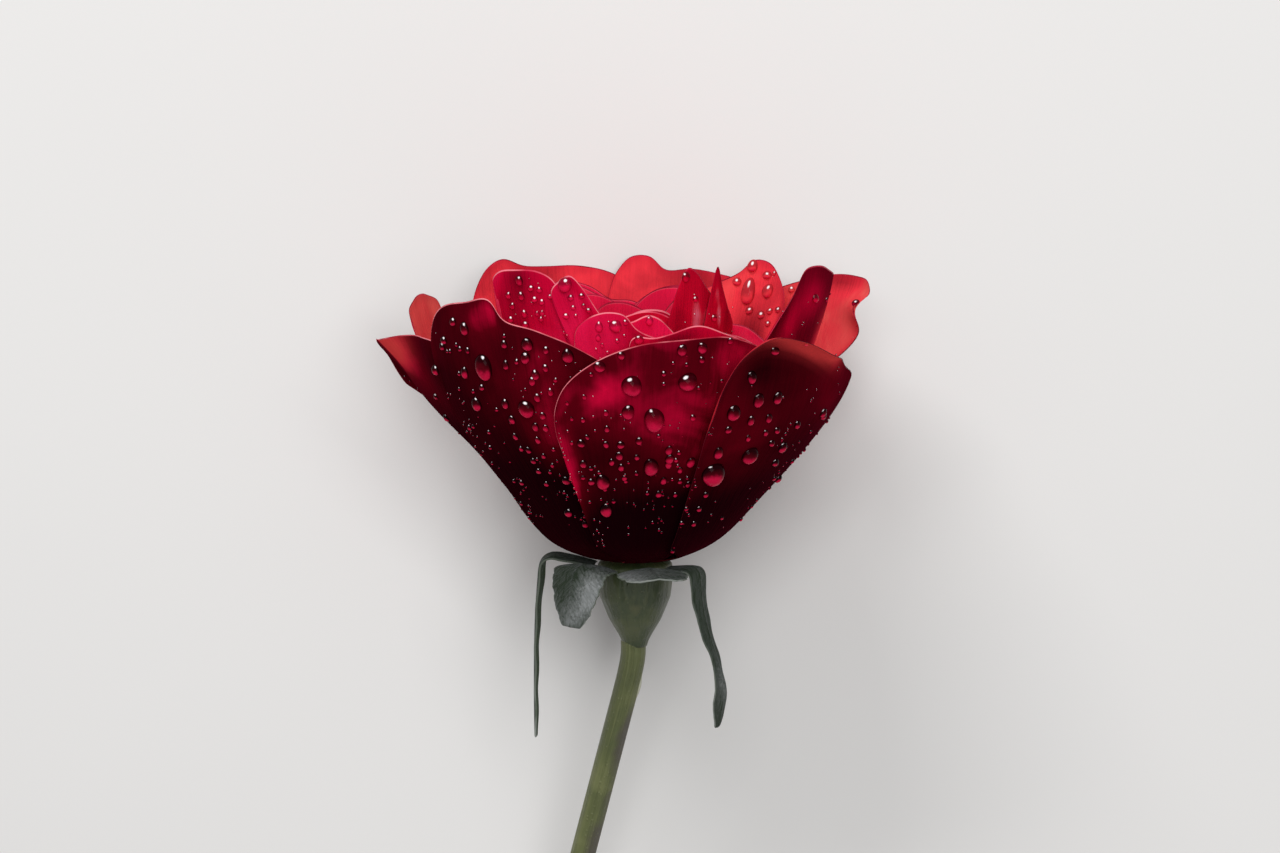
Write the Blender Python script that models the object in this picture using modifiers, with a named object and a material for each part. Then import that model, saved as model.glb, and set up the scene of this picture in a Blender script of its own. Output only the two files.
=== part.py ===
"""A cut garden rose lying on its side, as separate solids: petals, sepals, hypanthium, stem, centre.

The flower is modelled upright in its own frame: millimetres, the origin where the petals are
attached, +Z up the flower. An empty then lays it down on its back petals and the cut end of its
stem. An azimuth is an angle round the flower in degrees, from +X towards +Y. A reach is a
distance along a petal from its base.
"""

import math
from dataclasses import dataclass

import bmesh
import bpy
import numpy as np
from mathutils import Matrix, Vector

MM = 0.001

# How the flower lies: the lean of its axis up from the ground, its roll round that axis, and
# where the attachment plane's centre stands.
LEAN = math.radians(9.37)
ROLL = math.radians(3.49)
BASE_PLACE = (0.0020, 0.0454, 0.03047)

PETAL_THICKNESS = 0.3
SEPAL_THICKNESS = 0.4
# The angle from a petal's middle over which the whorl's stagger builds up.
PINWHEEL_ANGLE = 45.0
# About how much of a petal's rim one degree of azimuth spans, to space its grid evenly.
RIM_PER_DEGREE = 0.6

STEM_RADIUS = 2.05
STEM_LENGTH = 131.0
STEM_TOP = -14.7
STEM_DROOP = 7.3
STEM_DROOP_POWER = 1.6
STEM_ASIDE = -0.3
STEM_LEAN = 0.255
STEM_EASE = 2.0
STEM_POINTS = 22
STEM_TRIM = 2.0
STEM_CUT_ANGLE = math.radians(32.0)

HYPANTHIUM_PROFILE = (
    (0.0, 2.2), (2.4, 2.2), (5.4, 0.18), (5.9, 0.05), (6.15, -0.4), (6.2, -2.6), (5.8, -5.8),
    (4.3, -9.5), (2.8, -12.0), (2.1, -13.4), (2.05, -14.0), (0.0, -14.0),
)  # fmt: skip

SEPAL_FOOT = (6.45, -0.35)
SEPAL_KEEL = 0.14
SEPAL_STEPS = 40
SEPAL_CELLS = (4, 14)


@dataclass(frozen=True)
class Whorl:
    """A bowl that some of the petals lie on, and how they sit against each other."""

    name: str
    foot: tuple
    reaches: tuple
    leans: tuple
    claw: float
    opens: tuple
    stagger: float
    ramp: float
    cells: tuple
    colour: tuple


@dataclass(frozen=True)
class Bend:
    """A place where a petal stands further out from its bowl, or in from it if `out` is negative."""

    azimuth: float
    width: float
    out: float
    start: float
    full: float


@dataclass(frozen=True)
class Roll:
    """A place where a petal's rim rolls outward by `turn` degrees over its last `length`."""

    azimuth: float
    width: float
    turn: float
    length: float


@dataclass(frozen=True)
class Petal:
    """One petal: the azimuth of its claw, and its outline as (azimuth, reach) along the rim."""

    facing: float
    outline: tuple
    bends: tuple = ()
    rolls: tuple = ()
    low_opens: tuple = ()


@dataclass(frozen=True)
class Sepal:
    """One sepal: its azimuth, how far out it turns down, its length, half widths and path's dips."""

    name: str
    azimuth: float
    out: float
    length: float
    half_widths: tuple
    dips: tuple


OUTER = Whorl(
    name="outer",
    foot=(5.3, 0.9),
    reaches=(0, 4.5, 9, 13.5, 19.5, 32.5, 39.5, 45.5, 54.5, 69.5),
    leans=(14, 21, 31, 45, 51, 52, 60, 70, 80, 84),
    claw=1.5,
    opens=(1.5, 14),
    stagger=2.0,
    ramp=16.0,
    cells=(12, 7),
    colour=(0.20, 0.004, 0.012),
)
SECOND = Whorl(
    name="second",
    foot=(4.6, 1.4),
    reaches=(0, 5, 12, 20, 35, 50, 60, 75),
    leans=(12, 33, 52, 60, 64, 74, 80, 84),
    claw=0.85,
    opens=(4, 22),
    stagger=1.85,
    ramp=12.0,
    cells=(12, 7),
    colour=(0.30, 0.005, 0.022),
)
THIRD = Whorl(
    name="third",
    foot=(3.9, 1.9),
    reaches=(0, 5, 12, 25, 45, 55, 70),
    leans=(20, 45, 62, 70, 78, 83, 86),
    claw=1.1,
    opens=(3, 20),
    stagger=1.2,
    ramp=12.0,
    cells=(9, 6),
    colour=(0.42, 0.008, 0.045),
)
FOURTH = Whorl(
    name="fourth",
    foot=(3.2, 2.4),
    reaches=(0, 5, 12, 25, 45, 60),
    leans=(36, 58, 70, 76, 84, 88),
    claw=0.8,
    opens=(3, 20),
    stagger=1.0,
    ramp=10.0,
    cells=(9, 6),
    colour=(0.48, 0.010, 0.060),
)
HEART = Whorl(
    name="heart",
    foot=(2.5, 2.9),
    reaches=(0, 5, 12, 25, 38, 50),
    leans=(52, 72, 79, 82, 92, 100),
    claw=0.9,
    opens=(3, 16),
    stagger=0.9,
    ramp=8.0,
    cells=(8, 5),
    colour=(0.50, 0.012, 0.070),
)

OUTER_PETALS = (
    Petal(
        facing=198,
        outline=(
            (169, 43), (171, 48.5), (176, 50.9), (184, 51.6), (192, 51.9), (200, 51.8), (208, 51.4),
            (216, 49), (224, 45), (230, 40),
        ),
        bends=(Bend(185, 38, -1.6, 8, 20), Bend(172, 22, 4.0, 26, 56)),
        rolls=(Roll(178, 15, 35, 8),),
    ),
    Petal(
        facing=240,
        outline=(
            (213, 45), (212.5, 52), (214.5, 55.8), (219, 58.2), (229, 59.8), (235.6, 60.7), (239, 57.4),
            (246, 56.1), (256, 53.7), (264, 50.3), (270, 45), (273, 39),
        ),
        bends=(Bend(208, 22, -1.0, 8, 20), Bend(234, 5, 1.2, 50, 60)),
        rolls=(Roll(252, 16, 15, 5),),
    ),
    Petal(
        facing=283,
        outline=(
            (250.5, 40), (251, 44), (253.5, 47.7), (261.5, 52.2), (271.5, 54.6), (283, 55.2), (291, 55.2),
            (298, 53.8), (306, 50.8), (314, 45), (318, 38),
        ),
        bends=(Bend(251, 7, 1.0, 15, 40),),
        rolls=(Roll(275, 30, 18, 6),),
    ),
    Petal(
        facing=333,
        outline=(
            (288, 42), (290, 49), (295, 55.3), (300, 57.4), (308, 56.5), (318, 53.5), (326, 50.6),
            (333, 48.2), (347, 45), (356, 42), (367, 38), (376, 32),
        ),
        bends=(Bend(374, 26, 2.0, 10, 28),),
        rolls=(Roll(308, 19, 90, 5.5),),
    ),
    Petal(
        facing=30,
        outline=(
            (6.8, 51), (7.2, 52.6), (8.5, 53.6), (11.5, 54.4), (8.5, 56.2), (13, 58.4), (20, 58.8),
            (32, 58), (46, 55.4), (60, 51.5), (70, 46), (75, 39),
        ),
        bends=(
            Bend(4, 26, -3.4, 10, 28), Bend(8, 14, 3.0, 38, 46), Bend(8, 10, -2.4, 50, 53.5),
            Bend(9, 12, 2.6, 53.8, 57),
        ),
        low_opens=(38, 54),
    ),
    Petal(
        facing=73,
        outline=(
            (40, 42), (45, 49), (54, 54), (66, 56.2), (75, 57.2), (82, 56.9), (86, 59.2), (91, 59.2),
            (95, 56.6), (98, 51), (100, 44),
        ),
        bends=(Bend(61, 10, 2.6, 30, 56), Bend(88, 14, -1.9, 30, 50)),
    ),
    Petal(
        facing=115,
        outline=(
            (85, 43), (88, 51), (95, 56), (104, 57.8), (113, 57.9), (120, 58.2), (126, 59.6), (132, 58.2),
            (137, 54.6), (142, 48), (146, 40),
        ),
        bends=(Bend(108, 10, 1.4, 35, 58), Bend(88, 12, -1.9, 30, 50)),
    ),
    Petal(
        facing=158,
        outline=(
            (144, 42), (147, 49), (150.5, 53.6), (157, 55.3), (163, 55.8), (168.5, 55.2), (174, 53.8),
            (179, 51), (184, 46.5), (189, 41),
        ),
        bends=(Bend(185, 30, -1.2, 8, 20), Bend(176, 9, 1.0, 42, 55)),
        low_opens=(3, 40),
    ),
)  # fmt: skip

SECOND_PETALS = (
    Petal(
        facing=235,
        outline=(
            (230, 46), (229.2, 54), (228, 58), (230, 59), (236, 59.6), (243, 59.5), (247, 58.4),
            (249.5, 56), (256, 54), (263, 50), (268, 44), (271, 38),
        ),
    ),
    Petal(
        facing=262,
        outline=(
            (243.6, 46), (244, 53), (245, 57), (248.4, 58.4), (252, 59.4), (255, 57.4), (258.5, 54),
            (264, 50.6), (272, 48.4), (281, 46), (288, 41), (291, 36),
        ),
        low_opens=(30, 66),
    ),
    Petal(
        facing=289,
        outline=(
            (253, 46), (254, 51), (258, 53), (263, 53.8), (267.3, 53.2), (270, 51.2), (275, 49.6),
            (283, 48.6), (294, 46), (301, 42), (304, 36),
        ),
    ),
    Petal(
        facing=317,
        outline=(
            (268, 44), (270, 50.2), (275, 49.8), (280, 50.4), (286, 51.6), (296, 49.8), (307, 47.2),
            (320, 45), (335, 41), (345, 35),
        ),
    ),
    Petal(
        facing=350,
        outline=(
            (304, 43), (306.5, 48.4), (311, 52.7), (315.5, 55.6), (320, 59), (328, 59.4), (337, 58),
            (352, 55.4), (366, 51), (377, 45), (384, 38),
        ),
        rolls=(Roll(309, 9, 45, 3.5),),
    ),
    Petal(
        facing=50,
        outline=(
            (35, 42), (36.5, 48.5), (40.5, 52.4), (45.5, 55), (51, 55.2), (56.5, 52.6), (64, 50.5),
            (73, 47.5), (83, 43), (90, 37),
        ),
    ),
    Petal(
        facing=110,
        outline=(
            (78, 38), (83, 44.5), (91, 47.6), (98, 47.8), (104, 50), (111, 51), (121, 50.4), (133, 48),
            (142, 43), (148, 36),
        ),
    ),
    Petal(
        facing=175,
        outline=(
            (138, 35), (144, 40.5), (156, 44), (170, 45.6), (184, 46), (200, 44.8), (214, 42), (226, 38),
            (233, 32),
        ),
    ),
)  # fmt: skip

THIRD_PETALS = (
    Petal(
        facing=272,
        outline=(
            (241, 38), (246, 42.4), (255, 44.8), (265, 45.8), (270, 46.4), (275, 47.3), (279.5, 46.7),
            (284, 45), (290, 42.5), (298, 39), (306, 35),
        ),
    ),
    Petal(
        facing=318,
        outline=(
            (284, 36), (289, 41), (298, 43.6), (309, 43.6), (324, 42), (340, 39.5), (353, 36.5), (360, 32),
        ),
    ),
    Petal(
        facing=378,
        outline=(
            (344, 30), (350, 35), (362, 38.5), (378, 40), (394, 41), (410, 40), (420, 36), (425, 31),
        ),
    ),
    Petal(
        facing=70,
        outline=((43, 33), (48, 40), (57, 44.2), (66, 46.4), (75, 46.6), (84, 45.2), (93, 42.2), (104, 35)),
    ),
    Petal(
        facing=118,
        outline=((84, 34), (89, 39.5), (97, 43.2), (107, 45.4), (115, 46.8), (125, 46), (138, 43), (153, 33)),
    ),
    Petal(
        facing=165,
        outline=((132, 32), (138, 38), (150, 42), (165, 43.6), (180, 42.6), (192, 39), (200, 33)),
    ),
    Petal(
        facing=220,
        outline=((182, 33), (188, 39), (201, 43), (217, 44.6), (233, 43.8), (246, 40), (254, 34)),
    ),
)  # fmt: skip

FOURTH_PETALS = (
    Petal(
        facing=275,
        outline=(
            (236, 34), (243, 39), (256, 42), (267, 43.4), (276, 44), (284, 43.6), (292, 42.4),
            (302, 39.6), (310, 34),
        ),
    ),
    Petal(
        facing=311,
        outline=(
            (286, 38), (289.5, 43.6), (294, 48.4), (299, 50.8), (304, 50.2), (312, 47.6), (323, 44.5), (332, 40),
        ),
    ),
    Petal(
        facing=350.5,
        outline=(
            (310, 41), (314, 47.6), (317.5, 51), (321.5, 48.8), (330, 44.4), (344, 41.4), (361, 38.6),
            (384, 33),
        ),
    ),
    Petal(
        facing=55,
        outline=((15, 34), (22, 39), (38, 42), (52, 43.6), (66, 44.2), (80, 43.2), (93, 39.4), (100, 34)),
    ),
    Petal(
        facing=118,
        outline=((76, 33), (84, 37), (98, 40.8), (116, 43), (134, 42), (150, 38.5), (160, 33)),
    ),
    Petal(
        facing=190,
        outline=((142, 32), (152, 38), (170, 42), (190, 43.4), (212, 42.4), (232, 39), (245, 33)),
    ),
)  # fmt: skip

HEART_PETALS = (
    Petal(
        facing=20,
        outline=((-42, 30), (-30, 36), (-6, 40.5), (20, 42), (48, 40), (70, 35), (82, 30)),
    ),
    Petal(
        facing=110,
        outline=((50, 30), (62, 35.2), (84, 38.8), (110, 40.2), (138, 38.8), (160, 35), (172, 30)),
    ),
    Petal(
        facing=200,
        outline=((140, 29), (152, 35), (174, 39), (200, 40.4), (228, 38.6), (250, 34), (262, 29)),
    ),
    Petal(
        facing=290,
        outline=((230, 29), (242, 35.6), (264, 40), (290, 41), (318, 39), (340, 34), (352, 29)),
    ),
)  # fmt: skip

SEPALS = (
    Sepal("sepal_left", 172, 9.2, 39.6, (2.2, 2.8, 2.8, 1.9, 1.3, 1.0, 0.6), (-14, -10, 84, 89, 91)),
    Sepal("sepal_front_left", 227, 7.4, 16.8, (2.3, 3.3, 5.2, 5.7, 4.8, 3.5, 2.0), (-18, -12, 72, 82, 90)),
    Sepal("sepal_front", 281, 6.0, 14.0, (2.2, 2.9, 4.4, 5.5, 5.5, 4.6, 3.0), (-17, -13, -5, 1, 8)),
    Sepal("sepal_right", 328, 5.8, 32.0, (2.2, 2.5, 2.2, 1.6, 1.2, 1.9, 0.6), (-10, -6, 88, 66, 108)),
    Sepal("sepal_back", 92, 6.5, 26.0, (2.3, 3.2, 3.8, 3.0, 1.7, 0.9, 0.5), (-14, -8, 78, 88, 94)),
)
SEPAL_WIDTH_PLACES = (0.0, 0.12, 0.28, 0.5, 0.7, 0.88, 1.0)

# Prickles along the stem: the share of the stem's length, and the azimuth.
PRICKLES = ((0.27, 15.0), (0.46, 200.0), (0.62, -60.0), (0.8, 150.0))
PRICKLE_LENGTH = 3.4
PRICKLE_FOOT_RADIUS = 1.5
PRICKLE_TIP_RADIUS = 0.12
PRICKLE_SINK = 0.5
PRICKLE_DROP = -0.35

STALKS = 12
STALK_FOOT = (1.5, 2.9)
STALK_HEAD_RADIUS = 2.9
STALK_HEAD_HEIGHT = 10.0
STALK_RADII = (0.2, 0.16)


def smooth(share):
    """An ease from 0 to 1 with level ends."""
    share = min(max(share, 0.0), 1.0)
    return share * share * (3 - 2 * share)


def curve_through(places, values, wanted):
    """A smooth curve through a few values, read at the wanted places."""
    slopes = np.gradient(values, places)
    step = min(max(int(np.searchsorted(places, wanted)) - 1, 0), len(places) - 2)
    width = places[step + 1] - places[step]
    t = (wanted - places[step]) / width
    return (
        (2 * t**3 - 3 * t**2 + 1) * values[step]
        + (t**3 - 2 * t**2 + t) * width * slopes[step]
        + (3 * t**2 - 2 * t**3) * values[step + 1]
        + (t**3 - t**2) * width * slopes[step + 1]
    )


def clear_scene():
    for thing in list(bpy.data.objects):
        bpy.data.objects.remove(thing, do_unlink=True)


def new_collection(name):
    made = bpy.data.collections.new(name)
    bpy.context.scene.collection.children.link(made)
    return made


def plain_material(name, colour, roughness):
    """A plain finish: these pieces have no pattern of their own."""
    made = bpy.data.materials.new(name)
    made.use_nodes = True
    shader = made.node_tree.nodes["Principled BSDF"]
    shader.inputs["Base Color"].default_value = (*colour, 1.0)
    shader.inputs["Roughness"].default_value = roughness
    shader.inputs["Metallic"].default_value = 0.0
    made.diffuse_color = (*colour, 1.0)
    return made


def add_object(name, mesh, material, collection, parent):
    made = bpy.data.objects.new(name, mesh)
    made.data.materials.clear()
    made.data.materials.append(material)
    collection.objects.link(made)
    made.parent = parent
    return made


def mesh_from(bm, name):
    bmesh.ops.scale(bm, vec=(MM, MM, MM), verts=bm.verts)
    mesh = bpy.data.meshes.new(name)
    bm.to_mesh(mesh)
    bm.free()
    mesh.shade_smooth()
    return mesh


def thicken(thing, thickness):
    """Turns an open surface into a thin closed body, half to each side."""
    solidify = thing.modifiers.new("thickness", "SOLIDIFY")
    solidify.thickness = thickness * MM
    solidify.offset = 0.0


class Bowl:
    """The surface of revolution that a whorl's petals lie on."""

    STEP = 0.25

    def __init__(self, whorl):
        self.whorl = whorl
        self.reaches = np.arange(0.0, whorl.reaches[-1], self.STEP)
        self.leans = np.radians([curve_through(whorl.reaches, whorl.leans, b) for b in self.reaches])
        middle = (self.leans[1:] + self.leans[:-1]) / 2
        self.radii = whorl.foot[0] + self.STEP * np.concatenate([[0], np.cumsum(np.cos(middle))])
        self.heights = whorl.foot[1] + self.STEP * np.concatenate([[0], np.cumsum(np.sin(middle))])

    def at(self, reach):
        """The (radius, height, lean) at a reach."""
        return tuple(np.interp(reach, self.reaches, row) for row in (self.radii, self.heights, self.leans))


class PetalSurface:
    """A petal's middle surface, from (along its rim, up from its claw), each from 0 to 1."""

    def __init__(self, petal, bowl):
        self.petal = petal
        self.bowl = bowl
        self.azimuths = [azimuth for azimuth, _ in petal.outline]
        self.rims = [reach for _, reach in petal.outline]
        steps = [
            math.hypot((b[0] - a[0]) * RIM_PER_DEGREE, b[1] - a[1]) for a, b in zip(petal.outline, petal.outline[1:])
        ]
        self.places = np.concatenate([[0.0], np.cumsum(steps)]) / sum(steps)

    def azimuth_at(self, across, rim_azimuth, reach):
        """Where a line up the petal stands at a reach: in the claw, or spread in the blade."""
        whorl = self.bowl.whorl
        facing = self.petal.facing
        in_claw = facing + (2 * across - 1) * math.degrees(whorl.claw / self.bowl.at(reach)[0])
        start, full = (self.petal.low_opens or whorl.opens) if rim_azimuth < facing else whorl.opens
        opened = smooth((reach - start) / (full - start))
        return in_claw + (rim_azimuth - in_claw) * opened

    def outward_at(self, azimuth, reach):
        """How far the petal stands off its bowl: its low margin over one neighbour, the other under."""
        whorl = self.bowl.whorl
        pinwheel = -whorl.stagger * (azimuth - self.petal.facing) / PINWHEEL_ANGLE
        away = pinwheel * min(1.0, reach / whorl.ramp)
        for bend in self.petal.bends:
            near = math.exp(-(((azimuth - bend.azimuth) / bend.width) ** 2))
            away += bend.out * near * smooth((reach - bend.start) / (bend.full - bend.start))
        return away

    def roll_at(self, azimuth):
        """The (turn in radians, length) of the rim's outward roll at an azimuth."""
        turn, length = 0.0, 1.0
        for roll in self.petal.rolls:
            here = math.radians(roll.turn) * math.exp(-(((azimuth - roll.azimuth) / roll.width) ** 4))
            if here > turn:
                turn, length = here, roll.length
        return turn, length

    def point(self, across, up):
        rim_azimuth = curve_through(self.places, self.azimuths, across)
        rim = curve_through(self.places, self.rims, across)
        reach = up * rim
        azimuth = self.azimuth_at(across, rim_azimuth, reach)
        radius, height, lean = self.bowl.at(reach)
        away = self.outward_at(azimuth, reach)
        radius += away * math.sin(lean)
        height -= away * math.cos(lean)
        turn, length = self.roll_at(azimuth)
        rolled = reach - (rim - length)
        if turn > 0.001 and rolled > 0:
            rate = turn / length
            end = lean - rate * rolled
            radius += (math.sin(lean) - math.sin(end)) / rate - rolled * math.cos(lean)
            height += (math.cos(end) - math.cos(lean)) / rate - rolled * math.sin(lean)
        angle = math.radians(azimuth)
        return Vector((radius * math.cos(angle), radius * math.sin(angle), height))


def petal_mesh(name, petal, bowl):
    """A petal's surface as a grid laid along its claw and rim."""
    surface = PetalSurface(petal, bowl)
    bm = bmesh.new()
    columns, rows = bowl.whorl.cells
    bmesh.ops.create_grid(bm, x_segments=columns, y_segments=rows, size=1.0)
    for vertex in bm.verts:
        vertex.co = surface.point((vertex.co.x + 1) / 2, (vertex.co.y + 1) / 2)
    return mesh_from(bm, name)


def add_whorl(whorl, petals, collection, parent):
    """All petals of one whorl, each its own solid."""
    bowl = Bowl(whorl)
    finish = plain_material(f"petal_{whorl.name}", whorl.colour, 0.42)
    for number, petal in enumerate(petals, start=1):
        name = f"petal_{whorl.name}_{number}"
        thing = add_object(name, petal_mesh(name, petal, bowl), finish, collection, parent)
        thicken(thing, PETAL_THICKNESS)


def sepal_path(sepal, along):
    """The (radius, height, dip) of a sepal's midline at a share of its length."""
    radius, height = SEPAL_FOOT
    out = sepal.out / sepal.length
    places = (0.0, 0.72 * out, 1.15 * out, 0.5 + 0.5 * out, 1.0)
    dip = math.radians(sepal.dips[0])
    stride = sepal.length / SEPAL_STEPS
    for step in range(int(round(along * SEPAL_STEPS))):
        dip = math.radians(np.interp((step + 0.5) / SEPAL_STEPS, places, sepal.dips))
        radius += stride * math.cos(dip)
        height -= stride * math.sin(dip)
    return radius, height, dip


def sepal_mesh(sepal):
    bm = bmesh.new()
    columns, rows = SEPAL_CELLS
    bmesh.ops.create_grid(bm, x_segments=columns, y_segments=rows, size=1.0)
    angle = math.radians(sepal.azimuth)
    out = Vector((math.cos(angle), math.sin(angle), 0.0))
    side = Vector((-math.sin(angle), math.cos(angle), 0.0))
    for vertex in bm.verts:
        across, along = vertex.co.x, (vertex.co.y + 1) / 2
        radius, height, dip = sepal_path(sepal, along)
        half = np.interp(along, SEPAL_WIDTH_PLACES, sepal.half_widths)
        keel = SEPAL_KEEL * half * across * across
        middle = out * (radius - keel * math.sin(dip)) + Vector((0, 0, height - keel * math.cos(dip)))
        vertex.co = middle + side * (across * half)
    return mesh_from(bm, sepal.name)


def add_sepals(collection, parent):
    finish = plain_material("sepal", (0.16, 0.22, 0.13), 0.7)
    for sepal in SEPALS:
        thing = add_object(sepal.name, sepal_mesh(sepal), finish, collection, parent)
        thicken(thing, SEPAL_THICKNESS)


def turned_mesh(name, profile):
    """A profile of (radius, height) pairs turned round Z, from its top to its bottom."""
    bm = bmesh.new()
    points = [bm.verts.new((radius, 0.0, height)) for radius, height in profile]
    for first, second in zip(points, points[1:]):
        bm.edges.new((first, second))
    return mesh_from(bm, name)


def add_turned(name, profile, steps, material, collection, parent):
    thing = add_object(name, turned_mesh(name, profile), material, collection, parent)
    screw = thing.modifiers.new("turn", "SCREW")
    screw.steps = steps
    screw.render_steps = steps
    screw.use_merge_vertices = True
    screw.merge_threshold = 0.00001
    screw.use_smooth_shade = True
    return thing


def stem_centre(share):
    """The stem's centre line: it leans over to one side, and droops towards the ground."""
    down = STEM_LENGTH * share
    eased = down - STEM_EASE * (1 - math.exp(-down / STEM_EASE))
    sideways = STEM_ASIDE - STEM_LEAN * eased
    return Vector((sideways, STEM_DROOP * share**STEM_DROOP_POWER, STEM_TOP - down))


def tube_mesh(name, points, radius):
    """A tube round a line of points, with its caps welded on."""
    curve = bpy.data.curves.new(name, "CURVE")
    curve.dimensions = "3D"
    curve.bevel_depth = radius * MM
    curve.bevel_resolution = 3
    curve.use_fill_caps = True
    line = curve.splines.new("POLY")
    line.points.add(len(points) - 1)
    for place, point in zip(line.points, points):
        place.co = (*(point * MM), 1.0)
    guide = bpy.data.objects.new(name + "_guide", curve)
    bpy.context.scene.collection.objects.link(guide)
    graph = bpy.context.evaluated_depsgraph_get()
    mesh = bpy.data.meshes.new_from_object(guide.evaluated_get(graph))
    bpy.data.objects.remove(guide, do_unlink=True)
    bm = bmesh.new()
    bm.from_mesh(mesh)
    bmesh.ops.remove_doubles(bm, verts=bm.verts, dist=0.00001)
    bm.to_mesh(mesh)
    bm.free()
    return mesh


def cut_end(mesh, centre, direction):
    """Trims a tube's end on a slant and closes it again."""
    bm = bmesh.new()
    bm.from_mesh(mesh)
    geometry = bm.verts[:] + bm.edges[:] + bm.faces[:]
    cut = bmesh.ops.bisect_plane(bm, geom=geometry, plane_co=centre, plane_no=direction, clear_outer=True)
    edges = [part for part in cut["geom_cut"] if isinstance(part, bmesh.types.BMEdge)]
    bmesh.ops.holes_fill(bm, edges=edges)
    bmesh.ops.recalc_face_normals(bm, faces=bm.faces)
    bm.to_mesh(mesh)
    bm.free()


def add_prickle(number, share, azimuth, collection, parent):
    """One small prickle, a cone that points out from the stem and a little down."""
    centre = stem_centre(share)
    angle = math.radians(azimuth)
    out = Vector((math.cos(angle), math.sin(angle), PRICKLE_DROP)).normalized()
    bm = bmesh.new()
    bmesh.ops.create_cone(
        bm,
        cap_ends=True,
        cap_tris=True,
        segments=10,
        radius1=PRICKLE_FOOT_RADIUS,
        radius2=PRICKLE_TIP_RADIUS,
        depth=PRICKLE_LENGTH,
    )
    turn = Vector((0, 0, 1)).rotation_difference(out).to_matrix().to_4x4()
    middle = centre + out * (STEM_RADIUS - PRICKLE_SINK + PRICKLE_LENGTH / 2)
    bmesh.ops.transform(bm, matrix=Matrix.Translation(middle) @ turn, verts=bm.verts)
    mesh = mesh_from(bm, f"prickle_{number}")
    thing = bpy.data.objects.new(mesh.name, mesh)
    collection.objects.link(thing)
    thing.parent = parent
    thing.display_type = "WIRE"
    thing.hide_render = True
    return thing


def add_stem(collection, helpers, parent):
    points = [stem_centre(share) for share in np.linspace(0.0, 1.0, STEM_POINTS)]
    mesh = tube_mesh("stem", points, STEM_RADIUS)
    along = (points[-1] - points[-2]).normalized()
    slant = Matrix.Rotation(STEM_CUT_ANGLE, 3, "Y") @ along
    cut_end(mesh, (points[-1] - along * STEM_TRIM) * MM, slant)
    mesh.shade_smooth()
    finish = plain_material("stem", (0.14, 0.24, 0.05), 0.55)
    stem = add_object("stem", mesh, finish, collection, parent)
    for number, (share, azimuth) in enumerate(PRICKLES, start=1):
        union = stem.modifiers.new(f"prickle_{number}", "BOOLEAN")
        union.operation = "UNION"
        union.object = add_prickle(number, share, azimuth, helpers, parent)


def add_filament(bm, angle, top):
    """One stamen's thin stalk, which leans out."""
    around = Vector((math.cos(angle), math.sin(angle), 0.0))
    foot = around * STALK_FOOT[0] + Vector((0, 0, STALK_FOOT[1]))
    head = around * STALK_HEAD_RADIUS + Vector((0, 0, top))
    along = head - foot
    turn = Vector((0, 0, 1)).rotation_difference(along).to_matrix().to_4x4()
    wide, narrow = STALK_RADII
    stalk = bmesh.ops.create_cone(
        bm, cap_ends=True, segments=5, radius1=wide, radius2=narrow, depth=along.length
    )
    place = Matrix.Translation((foot + head) / 2) @ turn
    bmesh.ops.transform(bm, matrix=place, verts=stalk["verts"])


def add_centre(collection, helpers, parent):
    """The stamens, a ring of stalks on a low collar, and the column of styles inside it."""
    gold = plain_material("stamen", (0.55, 0.34, 0.06), 0.6)
    pale = plain_material("style", (0.45, 0.42, 0.16), 0.6)
    collar = ((1.1, 3.3), (1.95, 3.3), (1.95, 2.5), (1.1, 2.5), (1.1, 3.3))
    stamens = add_turned("stamens", collar, 20, gold, collection, parent)
    stalks = bpy.data.collections.new("stalks")
    helpers.children.link(stalks)
    for number in range(STALKS):
        bm = bmesh.new()
        add_filament(bm, math.tau * number / STALKS, STALK_HEAD_HEIGHT + 0.8 * (number % 3))
        thing = bpy.data.objects.new(f"stalk_{number}", mesh_from(bm, f"stalk_{number}"))
        stalks.objects.link(thing)
        thing.parent = parent
        thing.display_type = "WIRE"
        thing.hide_render = True
    union = stamens.modifiers.new("stalks", "BOOLEAN")
    union.operation = "UNION"
    union.operand_type = "COLLECTION"
    union.collection = stalks
    column = (
        (0.0, 10.2), (0.8, 10.0), (1.15, 9.4), (0.8, 8.7), (0.6, 7.3), (0.6, 3.2), (0.75, 2.5), (0.0, 2.5),
    )  # fmt: skip
    add_turned("styles", column, 12, pale, collection, parent)


def main():
    clear_scene()
    rose = new_collection("rose")
    helpers = new_collection("helpers")
    helpers.hide_render = True
    flower = bpy.data.objects.new("flower", None)
    rose.objects.link(flower)
    flower.location = BASE_PLACE
    turn = Matrix.Rotation(LEAN - math.pi / 2, 4, "X") @ Matrix.Rotation(ROLL, 4, "Z")
    flower.rotation_euler = turn.to_euler()
    green = plain_material("hypanthium", (0.10, 0.20, 0.05), 0.5)
    add_turned("hypanthium", HYPANTHIUM_PROFILE, 24, green, rose, flower)
    add_stem(rose, helpers, flower)
    add_sepals(rose, flower)
    add_whorl(OUTER, OUTER_PETALS, rose, flower)
    add_whorl(SECOND, SECOND_PETALS, rose, flower)
    add_whorl(THIRD, THIRD_PETALS, rose, flower)
    add_whorl(FOURTH, FOURTH_PETALS, rose, flower)
    add_whorl(HEART, HEART_PETALS, rose, flower)
    add_centre(rose, helpers, flower)


main()
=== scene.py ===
"""The looks of a cut garden rose that lies on its side and is wet with dew.

Every petal, sepal, the hypanthium, the stem and the centre stand for the solid of the same name
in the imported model. The flower is built upright in its own frame, in millimetres, with the origin
where the petals are attached and +Z up the flower, and is then laid down as the model is. An
azimuth is an angle round the flower in degrees, from +X towards +Y. A reach is a distance along a
petal from its base. A place on a petal is (across, up), each from 0 to 1: across runs along the
rim in the direction of rising azimuth, and up runs from the claw to the rim.
"""

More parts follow.
